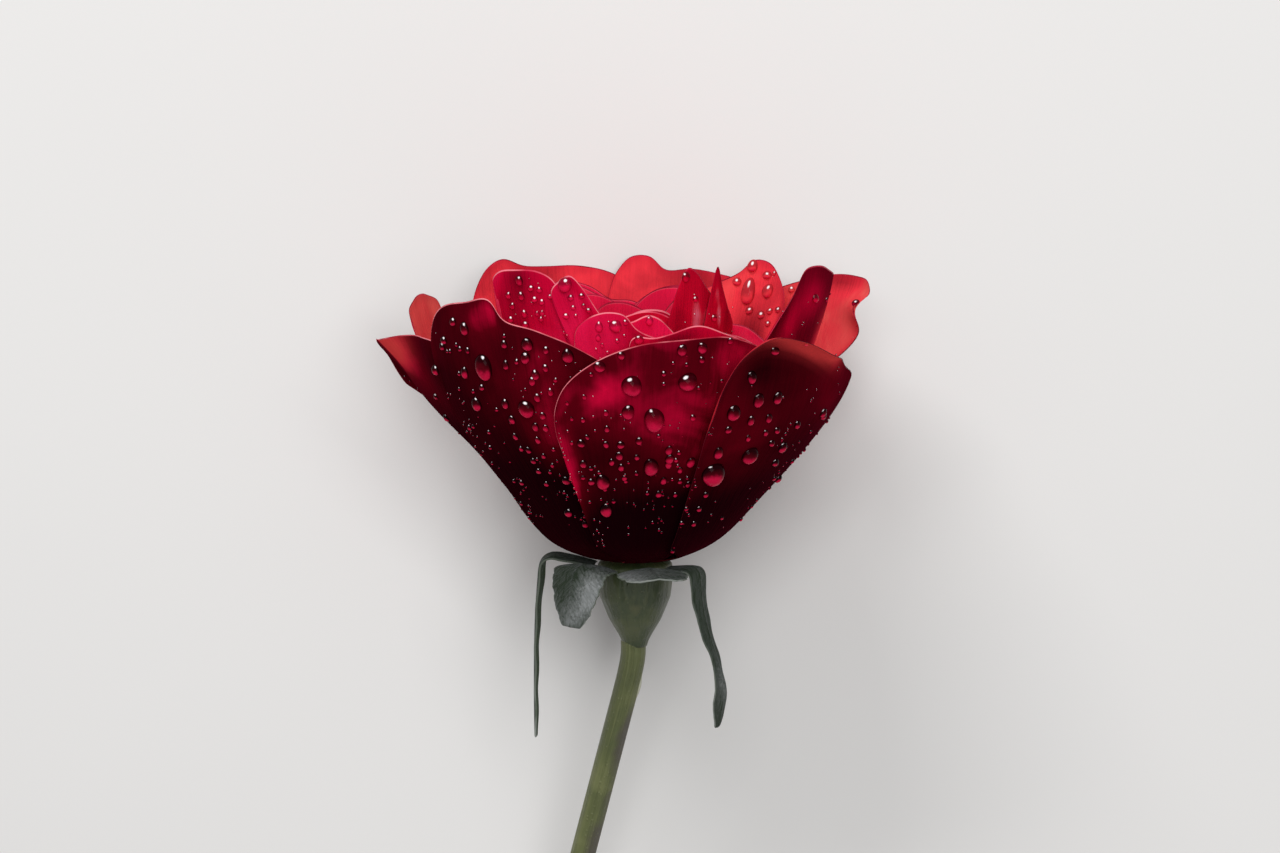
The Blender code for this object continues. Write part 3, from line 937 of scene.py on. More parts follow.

# The tones, fades and patches of the petals below mix their own colour with painted shade and painted
# highlights.
OUTER_PETALS = (
    Petal(
        facing=198, outline=(
            (169, 43), (171, 48.5), (176, 50.9), (184, 51.6), (192, 51.9), (200, 51.8), (208, 51.4),
            (216, 49), (224, 45), (230, 40),
        ),
        bends=(Bend(185, 38, -1.6, 8, 20), Bend(172, 22, 4.0, 26, 56)), rolls=(Roll(178, 15, 35, 8),),
        fade=(0.6, 0.9, 0.36), tone=0.34,
        tone_and_painted_light_patches=(
            ToneAndPaintedLightPatch(0.34, 0.965, 0.07, 0.06, 0.6, 1.5), ToneAndPaintedLightPatch(0.39, 0.88, 0.07, 0.1, 0.32),
            ToneAndPaintedLightPatch(0.25, 0.86, 0.07, 0.12, 0.15), ToneAndPaintedLightPatch(0.56, 0.9, 0.07, 0.1, -0.2),
        ),
        dew=40,
    ),
    Petal(
        facing=240, outline=(
            (213, 45), (212.5, 52), (214.5, 55.8), (219, 58.2), (229, 59.8), (235.6, 60.7), (239, 57.4),
            (246, 56.1), (256, 53.7), (264, 50.3), (270, 45), (273, 39),
        ),
        bends=(Bend(208, 22, -1.0, 8, 20), Bend(234, 5, 1.2, 50, 60)), rolls=(Roll(252, 16, 15, 5),),
        fade=(0.4, 0.8, 0.34), tone=0.3,
        tone_and_painted_light_patches=(
            ToneAndPaintedLightPatch(0.6, 0.8, 0.09, 0.19, 0.4), ToneAndPaintedLightPatch(0.39, 0.955, 0.07, 0.05, 0.34),
            # The narrow patch at (0.39, 0.87) is a painted highlight along a fold.
            ToneAndPaintedLightPatch(0.2, 0.78, 0.16, 0.16, -0.2), ToneAndPaintedLightPatch(0.39, 0.87, 0.03, 0.07, 0.16),
            ToneAndPaintedLightPatch(0.44, 0.97, 0.022, 0.03, 0.28), ToneAndPaintedLightPatch(0.5, 0.93, 0.05, 0.07, -0.14),
            ToneAndPaintedLightPatch(0.56, 0.64, 0.05, 0.06, 0.2),
        ),
        dew=230,
    ),
    Petal(
        facing=283, outline=(
            (250.5, 40), (251, 44), (253.5, 47.7), (261.5, 52.2), (271.5, 54.6), (283, 55.2), (291, 55.2),
            (298, 53.8), (306, 50.8), (314, 45), (318, 38),
        ),
        bends=(Bend(251, 7, 1.0, 15, 40),), rolls=(Roll(275, 30, 18, 6),),
        fade=(0.36, 0.74, 0.58), tone=0.55,
        tone_and_painted_light_patches=(
            ToneAndPaintedLightPatch(0.04, 0.76, 0.055, 0.2, 0.28), ToneAndPaintedLightPatch(0.07, 0.64, 0.05, 0.13, 0.3),
            ToneAndPaintedLightPatch(0.18, 0.75, 0.03, 0.12, -0.25), ToneAndPaintedLightPatch(0.26, 0.88, 0.06, 0.055, 0.5),
            ToneAndPaintedLightPatch(0.15, 0.96, 0.06, 0.03, 0.2), ToneAndPaintedLightPatch(0.24, 0.68, 0.07, 0.1, -0.34),
            ToneAndPaintedLightPatch(0.35, 0.64, 0.06, 0.07, -0.22), ToneAndPaintedLightPatch(0.4, 0.9, 0.05, 0.07, -0.14),
            ToneAndPaintedLightPatch(0.46, 0.74, 0.07, 0.09, 0.16), ToneAndPaintedLightPatch(0.5, 0.57, 0.09, 0.08, 0.22),
            ToneAndPaintedLightPatch(0.64, 0.95, 0.07, 0.06, 0.2),
        ),
        dew=250,
    ),
    Petal(
        facing=333, outline=(
            (288, 42), (290, 49), (295, 55.3), (300, 57.4), (308, 56.5), (318, 53.5), (326, 50.6),
            (333, 48.2), (347, 45), (356, 42), (367, 38), (376, 32),
        ),
        bends=(Bend(374, 26, 2.0, 10, 28),), rolls=(Roll(308, 19, 90, 5.5),),
        fade=(0.42, 0.72, 0.27), tone=0.26,
        tone_and_painted_light_patches=(
            ToneAndPaintedLightPatch(0.36, 1.0, 0.1, 0.045, 0.5, 3.0), ToneAndPaintedLightPatch(0.42, 0.97, 0.14, 0.035, 0.3),
            ToneAndPaintedLightPatch(0.06, 0.88, 0.06, 0.08, 0.24), ToneAndPaintedLightPatch(0.15, 0.78, 0.06, 0.12, 0.14),
            ToneAndPaintedLightPatch(0.25, 0.865, 0.05, 0.05, -0.22), ToneAndPaintedLightPatch(0.25, 0.62, 0.09, 0.14, 0.2),
            ToneAndPaintedLightPatch(0.55, 0.87, 0.08, 0.06, 0.2), ToneAndPaintedLightPatch(0.6, 0.68, 0.18, 0.13, -0.2),
        ),
        rim=RIM_DUSK, dew=130,
    ),
    Petal(
        facing=30, outline=(
            (6.8, 51), (7.2, 52.6), (8.5, 53.6), (11.5, 54.4), (8.5, 56.2), (13, 58.4), (20, 58.8),
            (32, 58), (46, 55.4), (60, 51.5), (70, 46), (75, 39),
        ),
        bends=(
            Bend(4, 26, -3.4, 10, 28), Bend(8, 14, 3.0, 38, 46), Bend(8, 10, -2.4, 50, 53.5),
            Bend(9, 12, 2.6, 53.8, 57),
        ),
        low_opens=(38, 54), tone=0.75,
        tone_and_painted_light_patches=(ToneAndPaintedLightPatch(0.33, 0.985, 0.09, 0.035, -0.5), ToneAndPaintedLightPatch(0.2, 0.82, 0.09, 0.07, 0.2)),
        dew=60, face_dew=14,
    ),
    Petal(
        facing=73, outline=(
            (40, 42), (45, 49), (54, 54), (66, 56.2), (75, 57.2), (82, 56.9), (86, 59.2), (91, 59.2),
            (95, 56.6), (98, 51), (100, 44),
        ),
        bends=(Bend(61, 10, 2.6, 30, 56), Bend(88, 14, -1.9, 30, 50)),
        tone_and_painted_light_patches=(ToneAndPaintedLightPatch(0.49, 0.96, 0.09, 0.07, -0.24), ToneAndPaintedLightPatch(0.85, 0.95, 0.08, 0.06, 0.15)),
        dew=60, face_dew=16,
    ),
    Petal(
        facing=115, outline=(
            (85, 43), (88, 51), (95, 56), (104, 57.8), (113, 57.9), (120, 58.2), (126, 59.6), (132, 58.2),
            (137, 54.6), (142, 48), (146, 40),
        ),
        bends=(Bend(108, 10, 1.4, 35, 58), Bend(88, 12, -1.9, 30, 50)),
        tone_and_painted_light_patches=(ToneAndPaintedLightPatch(0.49, 0.96, 0.08, 0.07, -0.22), ToneAndPaintedLightPatch(0.24, 0.95, 0.09, 0.06, 0.15)),
        dew=60, face_dew=16,
    ),
    Petal(
        facing=158, outline=(
            (144, 42), (147, 49), (150.5, 53.6), (157, 55.3), (163, 55.8), (168.5, 55.2), (174, 53.8),
            (179, 51), (184, 46.5), (189, 41),
        ),
        bends=(Bend(185, 30, -1.2, 8, 20), Bend(176, 9, 1.0, 42, 55)), low_opens=(3, 40), tone=0.75,
        tone_and_painted_light_patches=(ToneAndPaintedLightPatch(0.52, 0.95, 0.3, 0.16, 0.25, 0.3), ToneAndPaintedLightPatch(0.56, 0.85, 0.05, 0.05, -0.2)),
        dew=50, face_dew=12,
    ),
)  # fmt: skip

SECOND_PETALS = (
    Petal(
        facing=235, outline=(
            (230, 46), (229.2, 54), (228, 58), (230, 59), (236, 59.6), (243, 59.5), (247, 58.4),
            (249.5, 56), (256, 54), (263, 50), (268, 44), (271, 38),
        ),
        tone=0.6,
        tone_and_painted_light_patches=(
            ToneAndPaintedLightPatch(0.15, 0.95, 0.06, 0.06, 0.4), ToneAndPaintedLightPatch(0.35, 0.97, 0.045, 0.05, -0.36),
            ToneAndPaintedLightPatch(0.25, 0.95, 0.04, 0.05, -0.15), ToneAndPaintedLightPatch(0.33, 0.85, 0.04, 0.08, -0.22),
            ToneAndPaintedLightPatch(0.55, 0.9, 0.1, 0.12, 0.35),
        ),
        dew=150,
    ),
    Petal(
        facing=262, outline=(
            (243.6, 46), (244, 53), (245, 57), (248.4, 58.4), (252, 59.4), (255, 57.4), (258.5, 54),
            (264, 50.6), (272, 48.4), (281, 46), (288, 41), (291, 36),
        ),
        low_opens=(30, 66), tone=0.82,
        tone_and_painted_light_patches=(
            ToneAndPaintedLightPatch(0.42, 0.93, 0.1, 0.09, -0.4), ToneAndPaintedLightPatch(0.15, 0.95, 0.06, 0.06, 0.18),
            ToneAndPaintedLightPatch(0.33, 0.985, 0.04, 0.03, -0.3),
        ),
        dew=110,
    ),
    Petal(
        facing=289, outline=(
            (253, 46), (254, 51), (258, 53), (263, 53.8), (267.3, 53.2), (270, 51.2), (275, 49.6),
            (283, 48.6), (294, 46), (301, 42), (304, 36),
        ),
        tone=0.8, tone_and_painted_light_patches=(ToneAndPaintedLightPatch(0.42, 0.97, 0.1, 0.06, -0.44), ToneAndPaintedLightPatch(0.04, 0.95, 0.05, 0.08, 0.25)),
        dew=120,
    ),
    Petal(
        facing=317, outline=(
            (268, 44), (270, 50.2), (275, 49.8), (280, 50.4), (286, 51.6), (296, 49.8), (307, 47.2),
            (320, 45), (335, 41), (345, 35),
        ),
        tone=0.44, tone_and_painted_light_patches=(ToneAndPaintedLightPatch(0.24, 0.96, 0.07, 0.04, -0.3), ToneAndPaintedLightPatch(0.12, 0.97, 0.05, 0.05, 0.12)),
        dew=60,
    ),
    Petal(
        facing=350, outline=(
            (304, 43), (306.5, 48.4), (311, 52.7), (315.5, 55.6), (320, 59), (328, 59.4), (337, 58),
            (352, 55.4), (366, 51), (377, 45), (384, 38),
        ),
        rolls=(Roll(309, 9, 45, 3.5),), tone=0.09,
        tone_and_painted_light_patches=(
            ToneAndPaintedLightPatch(0.37, 0.91, 0.06, 0.045, 0.3), ToneAndPaintedLightPatch(0.56, 0.8, 0.075, 0.085, 0.9, 1.0),
            ToneAndPaintedLightPatch(0.25, 0.86, 0.07, 0.07, 0.3), ToneAndPaintedLightPatch(0.12, 0.88, 0.03, 0.2, 0.25),
        ),
        dew=70,
    ),
    Petal(
        facing=50, outline=(
            (35, 42), (36.5, 48.5), (40.5, 52.4), (45.5, 55), (51, 55.2), (56.5, 52.6), (64, 50.5),
            (73, 47.5), (83, 43), (90, 37),
        ),
        tone=0.52, tone_and_painted_light_patches=(ToneAndPaintedLightPatch(0.12, 0.94, 0.07, 0.09, -0.34), ToneAndPaintedLightPatch(0.33, 0.77, 0.14, 0.06, -0.42)),
        face_dew=50, face=Skin.CORAL,
    ),
    Petal(
        facing=110, outline=(
            (78, 38), (83, 44.5), (91, 47.6), (98, 47.8), (104, 50), (111, 51), (121, 50.4), (133, 48),
            (142, 43), (148, 36),
        ),
        face_dew=20,
    ),
    Petal(
        facing=175, outline=(
            (138, 35), (144, 40.5), (156, 44), (170, 45.6), (184, 46), (200, 44.8), (214, 42), (226, 38),
            (233, 32),
        ),
    ),
)  # fmt: skip

THIRD_PETALS = (
    Petal(
        facing=272, outline=(
            (241, 38), (246, 42.4), (255, 44.8), (265, 45.8), (270, 46.4), (275, 47.3), (279.5, 46.7),
            (284, 45), (290, 42.5), (298, 39), (306, 35),
        ),
        tone=0.86, dew=60,
    ),
    Petal(
        facing=318, outline=(
            (284, 36), (289, 41), (298, 43.6), (309, 43.6), (324, 42), (340, 39.5), (353, 36.5), (360, 32),
        ),
        tone=0.62,
    ),
    Petal(
        facing=378, outline=(
            (344, 30), (350, 35), (362, 38.5), (378, 40), (394, 41), (410, 40), (420, 36), (425, 31),
        ),
    ),
    Petal(
        facing=70,
        outline=((43, 33), (48, 40), (57, 44.2), (66, 46.4), (75, 46.6), (84, 45.2), (93, 42.2), (104, 35)),
        face_dew=14,
    ),
    Petal(
        facing=118,
        outline=((84, 34), (89, 39.5), (97, 43.2), (107, 45.4), (115, 46.8), (125, 46), (138, 43), (153, 33)),
        face_dew=14,
    ),
    Petal(165, ((132, 32), (138, 38), (150, 42), (165, 43.6), (180, 42.6), (192, 39), (200, 33))),
    Petal(220, ((182, 33), (188, 39), (201, 43), (217, 44.6), (233, 43.8), (246, 40), (254, 34))),
)  # fmt: skip

FOURTH_PETALS = (
    Petal(
        facing=275, outline=(
            (236, 34), (243, 39), (256, 42), (267, 43.4), (276, 44), (284, 43.6), (292, 42.4),
            (302, 39.6), (310, 34),
        ),
    ),
    Petal(
        facing=311, outline=(
            (286, 38), (289.5, 43.6), (294, 48.4), (299, 50.8), (304, 50.2), (312, 47.6), (323, 44.5),
            (332, 40),
        ),
        rim=RIM_CRIMSON, tone=0.4,
        tone_and_painted_light_patches=(
            # The patch at (0.53, 0.85) is a painted sheen streak.
            ToneAndPaintedLightPatch(0.53, 0.85, 0.055, 0.045, 0.55), ToneAndPaintedLightPatch(0.3, 0.86, 0.09, 0.1, -0.14),
            ToneAndPaintedLightPatch(0.45, 0.985, 0.04, 0.02, -0.2), ToneAndPaintedLightPatch(0.66, 0.86, 0.05, 0.08, 0.3),
        ),
        dew=40,
    ),
    Petal(
        facing=350.5, outline=(
            (310, 41), (314, 47.6), (317.5, 51), (321.5, 48.8), (330, 44.4), (344, 41.4), (361, 38.6),
            (384, 33),
        ),
        tone=0.42,
        tone_and_painted_light_patches=(
            # The patches at (0.21, 0.92) and (0.27, 0.875) are painted sheen streaks.
            ToneAndPaintedLightPatch(0.21, 0.92, 0.035, 0.03, 0.45), ToneAndPaintedLightPatch(0.27, 0.875, 0.035, 0.03, 0.5),
            ToneAndPaintedLightPatch(0.4, 0.95, 0.06, 0.08, -0.2),
        ),
        dew=40,
    ),
    Petal(55, ((15, 34), (22, 39), (38, 42), (52, 43.6), (66, 44.2), (80, 43.2), (93, 39.4), (100, 34))),
    Petal(118, ((76, 33), (84, 37), (98, 40.8), (116, 43), (134, 42), (150, 38.5), (160, 33))),
    Petal(190, ((142, 32), (152, 38), (170, 42), (190, 43.4), (212, 42.4), (232, 39), (245, 33))),
)  # fmt: skip

HEART_PETALS = (
    Petal(20, ((-42, 30), (-30, 36), (-6, 40.5), (20, 42), (48, 40), (70, 35), (82, 30))),
    Petal(110, ((50, 30), (62, 35.2), (84, 38.8), (110, 40.2), (138, 38.8), (160, 35), (172, 30))),
    Petal(200, ((140, 29), (152, 35), (174, 39), (200, 40.4), (228, 38.6), (250, 34), (262, 29))),
    Petal(290, ((230, 29), (242, 35.6), (264, 40), (290, 41), (318, 39), (340, 34), (352, 29))),
)  # fmt: skip


class Bowl:
    """The surface of revolution that a whorl's petals lie on."""

    STEP = 0.25

    def __init__(self, whorl: Whorl) -> None:
        """Adds up the bowl's profile from its leans."""
        self.whorl = whorl
        self.reaches = np.arange(0.0, whorl.reaches[-1], self.STEP)
        self.leans = np.radians(curve_through(whorl.reaches, whorl.leans, self.reaches))
        middle = (self.leans[1:] + self.leans[:-1]) / 2
        self.radii = whorl.foot[0] + self.STEP * np.concatenate([[0], np.cumsum(np.cos(middle))])
        self.heights = whorl.foot[1] + self.STEP * np.concatenate([[0], np.cumsum(np.sin(middle))])

    def at(self, reach: Array) -> tuple[Array, Array, Array]:
        """The radii, heights and leans at some reaches."""
        rows = (self.radii, self.heights, self.leans)
        return tuple(np.interp(reach, self.reaches, row) for row in rows)


class PetalSurface:
    """A petal's middle surface, read at places on the petal."""

    PINWHEEL_ANGLE = 45.0
    RIM_PER_DEGREE = 0.6

    def __init__(self, petal: Petal, bowl: Bowl, seed: int) -> None:
        """Works out how the rim's points are spaced.

        Args:
            petal: The petal.
            bowl: The bowl that it lies on.
            seed: What its small waves are drawn from.
        """
        self.petal = petal
        self.bowl = bowl
        self.azimuths = [azimuth for azimuth, _ in petal.outline]
        self.rims = [reach for _, reach in petal.outline]
        steps = [
            math.hypot((b[0] - a[0]) * self.RIM_PER_DEGREE, b[1] - a[1])
            for a, b in zip(petal.outline, petal.outline[1:])
        ]
        self.places = np.concatenate([[0.0], np.cumsum(steps)]) / sum(steps)
        draw = random.Random(seed)
        self.waves = [
            (n, draw.uniform(0.4, 1.0) / (1 + 0.12 * n), draw.uniform(0, math.tau)) for n in (2, 3, 5, 8)
        ]
        self.swells = [
            (draw.uniform(1.2, 2.8), draw.uniform(0.6, 1.6), draw.uniform(0, math.tau)) for _ in range(3)
        ]

    def azimuth_at(self, across: Array, rim_azimuth: Array, reach: Array) -> Array:
        """Where a line up the petal stands at a reach: in the claw, or spread in the blade.

        Args:
            across: The line's place along the rim.
            rim_azimuth: The azimuth of its end at the rim.
            reach: How far from the petal's base it is read.

        Returns:
            Azimuths in degrees.
        """
        whorl = self.bowl.whorl
        facing = self.petal.facing
        in_claw = facing + (2 * across - 1) * np.degrees(whorl.claw / self.bowl.at(reach)[0])
        low = self.petal.low_opens or whorl.opens
        start = np.where(rim_azimuth < facing, low[0], whorl.opens[0])
        full = np.where(rim_azimuth < facing, low[1], whorl.opens[1])
        return in_claw + (rim_azimuth - in_claw) * eased((reach - start) / (full - start))

    def rippled(self, across: Array, up: Array) -> Array:
        """The small waves along the rim and the slow swells of the blade.

        Args:
            across: Places along the rim.
            up: Places up from the claw.

        Returns:
            How far the petal is moved outward, in millimetres.
        """
        height = self.bowl.whorl.ripple
        near_rim = eased((up - 0.62) / 0.38)
        wave = sum(size * np.sin(math.tau * n * across + phase) for n, size, phase in self.waves)
        swell = sum(
            np.sin(math.tau * n * across + phase) * np.sin(math.pi * m * up + phase)
            for n, m, phase in self.swells
        )
        return height * (0.55 * wave * near_rim + 0.22 * swell * eased(up / 0.5))

    def outward_at(self, azimuth: Array, reach: Array) -> Array:
        """How far the petal stands off its bowl: its low margin over one neighbour, the other under.

        Args:
            azimuth: Azimuths in degrees.
            reach: How far from the petal's base they are.

        Returns:
            Distances in millimetres.
        """
        whorl = self.bowl.whorl
        pinwheel = -whorl.stagger * (azimuth - self.petal.facing) / self.PINWHEEL_ANGLE
        away = pinwheel * np.minimum(1.0, reach / whorl.ramp)
        for bend in self.petal.bends:
            near = np.exp(-(((azimuth - bend.azimuth) / bend.width) ** 2))
            away = away + bend.out * near * eased((reach - bend.start) / (bend.full - bend.start))
        return away

    def roll_at(self, azimuth: Array) -> tuple[Array, Array]:
        """How the rim rolls outward.

        Args:
            azimuth: Azimuths in degrees.

        Returns:
            The turn in radians and the length in millimetres.
        """
        turn, length = np.zeros_like(azimuth), np.ones_like(azimuth)
        for roll in self.petal.rolls:
            here = math.radians(roll.turn) * np.exp(-(((azimuth - roll.azimuth) / roll.width) ** 4))
            length = np.where(here > turn, roll.length, length)
            turn = np.maximum(here, turn)
        return turn, length

    def points(self, across: Array, up: Array) -> Array:
        """The petal's middle surface in the flower's frame.

        Args:
            across: Places along the rim.
            up: Places up from the claw.

        Returns:
            One row of x, y, z in millimetres for each place.
        """
        rim_azimuth = curve_through(self.places, self.azimuths, across)
        rim = curve_through(self.places, self.rims, across)
        reach = up * rim
        azimuth = self.azimuth_at(across, rim_azimuth, reach)
        radius, height, lean = self.bowl.at(reach)
        away = self.outward_at(azimuth, reach) + self.rippled(across, up)
        radius = radius + away * np.sin(lean)
        height = height - away * np.cos(lean)
        turn, length = self.roll_at(azimuth)
        rolled = reach - (rim - length)
        rate = np.maximum(turn, 1e-3) / length
        end = lean - rate * rolled
        curled = (turn > 1e-3) & (rolled > 0)
        radius = radius + curled * ((np.sin(lean) - np.sin(end)) / rate - rolled * np.cos(lean))
        height = height + curled * ((np.cos(end) - np.cos(lean)) / rate - rolled * np.sin(lean))
        angle = np.radians(azimuth)
        return np.stack([radius * np.cos(angle), radius * np.sin(angle), height], axis=-1)

    def stand(self, across: float, up: float) -> tuple[Array, Array, Array]:
        """Where a drop stands on the petal.

        Args:
            across: The place along the rim.
            up: The place up from the claw.

        Returns:
            The point, its outward normal and its direction towards the rim.
        """
        step = 0.004
        low, high = max(across - step, 0.0), min(across + step, 1.0)
        below, above = max(up - step, 0.0), min(up + step, 1.0)
        at = self.points(np.array([across, low, high, across, across]), np.array([up, up, up, below, above]))
        along, rise = at[2] - at[1], at[4] - at[3]
        normal = np.cross(along, rise)
        normal /= np.linalg.norm(normal)
        return at[0], normal, rise / np.linalg.norm(rise)

    def tone_and_painted_light(self, across: Array, up: Array) -> Array:
        """How light the petal's back is: its own tone, with painted shade towards the claw and painted shade
        and highlights in patches.

        Args:
            across: Places along the rim.
            up: Places up from the claw.

        Returns:
            Tones from 0 to 1.
        """
        low, high, by = self.petal.fade
        # Painted shade: the tone falls towards the claw.
        tone = self.petal.tone - by * (1 - eased((up - low) / (high - low)))
        for spot in self.petal.tone_and_painted_light_patches:
            tone = tone + spot.by * spot.near(across, up)
        return np.clip(tone, 0.0, 1.0)

    def warmth(self, across: Array, up: Array) -> Array:
        """How coral the petal's back is, from 0 to 1."""
        warm = sum((spot.warm * spot.near(across, up) for spot in self.petal.tone_and_painted_light_patches), np.zeros_like(across))
        return np.clip(warm, 0.0, 1.0)


def grid_mesh(name: str, columns: int, rows: int) -> tuple[Mesh, Array, Array]:
    """A flat grid with its map.

    Args:
        name: The mesh's name.
        columns: Cells along the first side.
        rows: Cells along the second side.

    Returns:
        The mesh, and the (first, second) share of each of its vertices.
    """
    bm = bmesh.new()
    bmesh.ops.create_grid(bm, x_segments=columns, y_segments=rows, size=1.0)
    layer = bm.loops.layers.uv.new("petal")
    for face in bm.faces:
        face.smooth = True
        for corner in face.loops:
            corner[layer].uv = ((corner.vert.co.x + 1) / 2, (corner.vert.co.y + 1) / 2)
    places = np.array([(v.co.x, v.co.y) for v in bm.verts])
    mesh = bpy.data.meshes.new(name)
    bm.to_mesh(mesh)
    bm.free()
    return mesh, (places[:, 0] + 1) / 2, (places[:, 1] + 1) / 2


def set_points(mesh: Mesh, points: Array) -> None:
    """Moves a mesh's vertices to places in the flower's frame, laid down."""
    mesh.vertices.foreach_set("co", LYING.points(points).astype(np.float32).ravel())
    mesh.update()


def set_number(mesh: Mesh, name: str, values: Array) -> None:
    """Stores a number at each vertex, for the finish to read."""
    layer = mesh.attributes.new(name, "FLOAT", "POINT")
    layer.data.foreach_set("value", values.astype(np.float32))


def add_piece(name: str, mesh: Mesh, materials: list[Material]) -> Piece:
    """Makes a piece of a mesh and fixes it to the model.

    Args:
        name: The piece's name.
        mesh: Its mesh, in the model's frame.
        materials: Its materials, in the order of its faces' indices.

    Returns:
        The piece.
    """
    piece = bpy.data.objects.new(name, mesh)
    bpy.context.scene.collection.objects.link(piece)
    for material in materials:
        mesh.materials.append(material)
    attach(piece, BODY)
    return piece


def thin_out(piece: Piece, shares: Array) -> None:
    """Gives a sheet a share of its full thickness at each vertex, for thicken to read."""
    group = piece.vertex_groups.new(name="thickness")
    for vertex, share in enumerate(shares):
        group.add([vertex], float(share), "REPLACE")


def thicken(piece: Piece, thickness: float) -> None:
    """Turns an open sheet into a thin body with a face, a back and a round edge.

    Args:
        piece: The sheet.
        thickness: Its thickness in millimetres, half to each side.
    """
    solid = piece.modifiers.new("thickness", "SOLIDIFY")
    solid.thickness = thickness * MM
    solid.offset = 0.0
    solid.material_offset = 1
    solid.material_offset_rim = 2
    if "thickness" in piece.vertex_groups:
        solid.vertex_group = "thickness"
    round_off = piece.modifiers.new("rounding", "SUBSURF")
    round_off.levels = round_off.render_levels = 1


@dataclass
class Bloom:
    """All petals of the flower, whorl by whorl.

    Attributes:
        thickness: A petal's thickness in millimetres.
        thin: The share of it that is left at the rim.
        rim_taper: The share of a petal's length over which it thins to its rim.
        side_taper: The same share of its width, at each side.
        rear_from: The sine of the azimuth past which petals have dark rims, not pale rims with a painted
            highlight.
    """

    thickness: float = 0.3
    thin: float = 0.3
    rim_taper: float = 0.05
    side_taper: float = 0.03
    rear_from: float = -0.2
    whorls: tuple[tuple[Whorl, tuple[Petal, ...]], ...] = (
        (OUTER, OUTER_PETALS),
        (SECOND, SECOND_PETALS),
        (THIRD, THIRD_PETALS),
        (FOURTH, FOURTH_PETALS),
        (HEART, HEART_PETALS),
    )
    surfaces: dict[str, PetalSurface] = field(default_factory=dict)
    finishes: dict[str, Material] = field(default_factory=dict)
    net: BVHTree | None = None

    def finish(self, kind: PetalSkin | PetalRim) -> Material:
        """The material of a finish, made once."""
        if kind.name not in self.finishes:
            self.finishes[kind.name] = kind.material()
        return self.finishes[kind.name]

    def build_petal(self, name: str, petal: Petal, whorl: Whorl, surface: PetalSurface) -> Piece:
        """Builds and dresses one petal.

        Args:
            name: Its node.
            petal: Its sizes and colours.
            whorl: Its whorl.
            surface: Its middle surface.

        Returns:
            The piece.
        """
        mesh, across, up = grid_mesh(name + "_mesh", *whorl.cells)
        set_points(mesh, surface.points(across, up))
        set_number(mesh, "tone_and_painted_light", surface.tone_and_painted_light(across, up))
        set_number(mesh, "warmth", surface.warmth(across, up))
        # Front petals keep their whorl's rims, pale in part as painted edge highlights; rear ones get dark
        # rims.
        rear = math.sin(math.radians(petal.facing)) > self.rear_from
        edge = petal.rim or (RIM_CRIMSON if rear else whorl.rim)
        skins = [whorl.back.value, (petal.face or whorl.face).value, edge]
        piece = add_piece(name + "_skin", mesh, [self.finish(skin) for skin in skins])
        inside = np.minimum((1 - up) / self.rim_taper, np.minimum(across, 1 - across) / self.side_taper)
        thin_out(piece, self.thin + (1 - self.thin) * eased(inside))
        thicken(piece, self.thickness)
        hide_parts(name)
        return piece

    def build(self) -> None:
        """Builds every petal, and the net of surfaces that the dew is laid on."""
        points, faces = [], []
        for number, (whorl, petals) in enumerate(self.whorls):
            bowl = Bowl(whorl)
            for index, petal in enumerate(petals, start=1):
                name = f"petal_{whorl.name}_{index}"
                surface = PetalSurface(petal, bowl, 100 * number + index)
                self.surfaces[name] = surface
                piece = self.build_petal(name, petal, whorl, surface)
                start = len(points)
                points += [vertex.co.copy() for vertex in piece.data.vertices]
                faces += [[start + v for v in face.vertices] for face in piece.data.polygons]
                report(piece, name)
        self.net = BVHTree.FromPolygons(points, faces)

    def clear_above(self, place: Vector, normal: Vector, distance: float) -> bool:
        """True if no petal lies within a distance of a place, in metres, along a normal."""
        hit = self.net.ray_cast(place, normal, distance)
        return hit[0] is None


def report(piece: Piece, node: str = "") -> None:
    """Logs a piece and how far its box is from its solid's.

    Args:
        piece: The piece.
        node: The node that it stands for, if any.
    """
    if not node:
        LOG.info("%s: %d faces", piece.name, len(piece.data.polygons))
        return
    low, high = (np.array(corner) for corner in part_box(node))
    points = np.array([vertex.co for vertex in piece.data.vertices])
    off = max(np.abs(points.min(0) - low).max(), np.abs(points.max(0) - high).max()) / MM
    LOG.info("%s: %d faces, box within %.1f mm of its solid", piece.name, len(piece.data.polygons), off)


# ---- Dew ----


class Side(Enum):
    """Which face of a petal a drop sits on: its back, towards the outside, or its face."""

    BACK = 1.0
    FACE = -1.0


@dataclass(frozen=True)
class Trickle:
    """Large drops that stand one below another down a vein; a lone drop is a trickle of one.

    Attributes:
        across: The first drop's place along the rim.
        up: Its place up from the claw.
        radius: Its radius in millimetres.
        long: How much longer the drops are up the petal than they are wide.
        count: How many drops there are.
        step: How far down the petal each stands from the one above it.
        growth: Each drop's radius as a share of that of the one above it.
    """

    across: float
    up: float
    radius: float
    long: float = 1.2
    count: int = 1
    step: float = 0.06
    growth: float = 0.9


@dataclass(frozen=True)
class Wet:
    """The large drops on one face of a petal, as rows of a trickle's numbers."""

    petal: str
    trickles: tuple[tuple[float, ...], ...]
    side: Side = Side.BACK


@dataclass(frozen=True)
class Drop:
    """One drop: its petal and place, its radius in mm, its length over its width, and its sag in radii."""

    petal: str
    across: float
    up: float
    radius: float
    long: float = 1.1
    sag: float = 0.25
    side: Side = Side.BACK


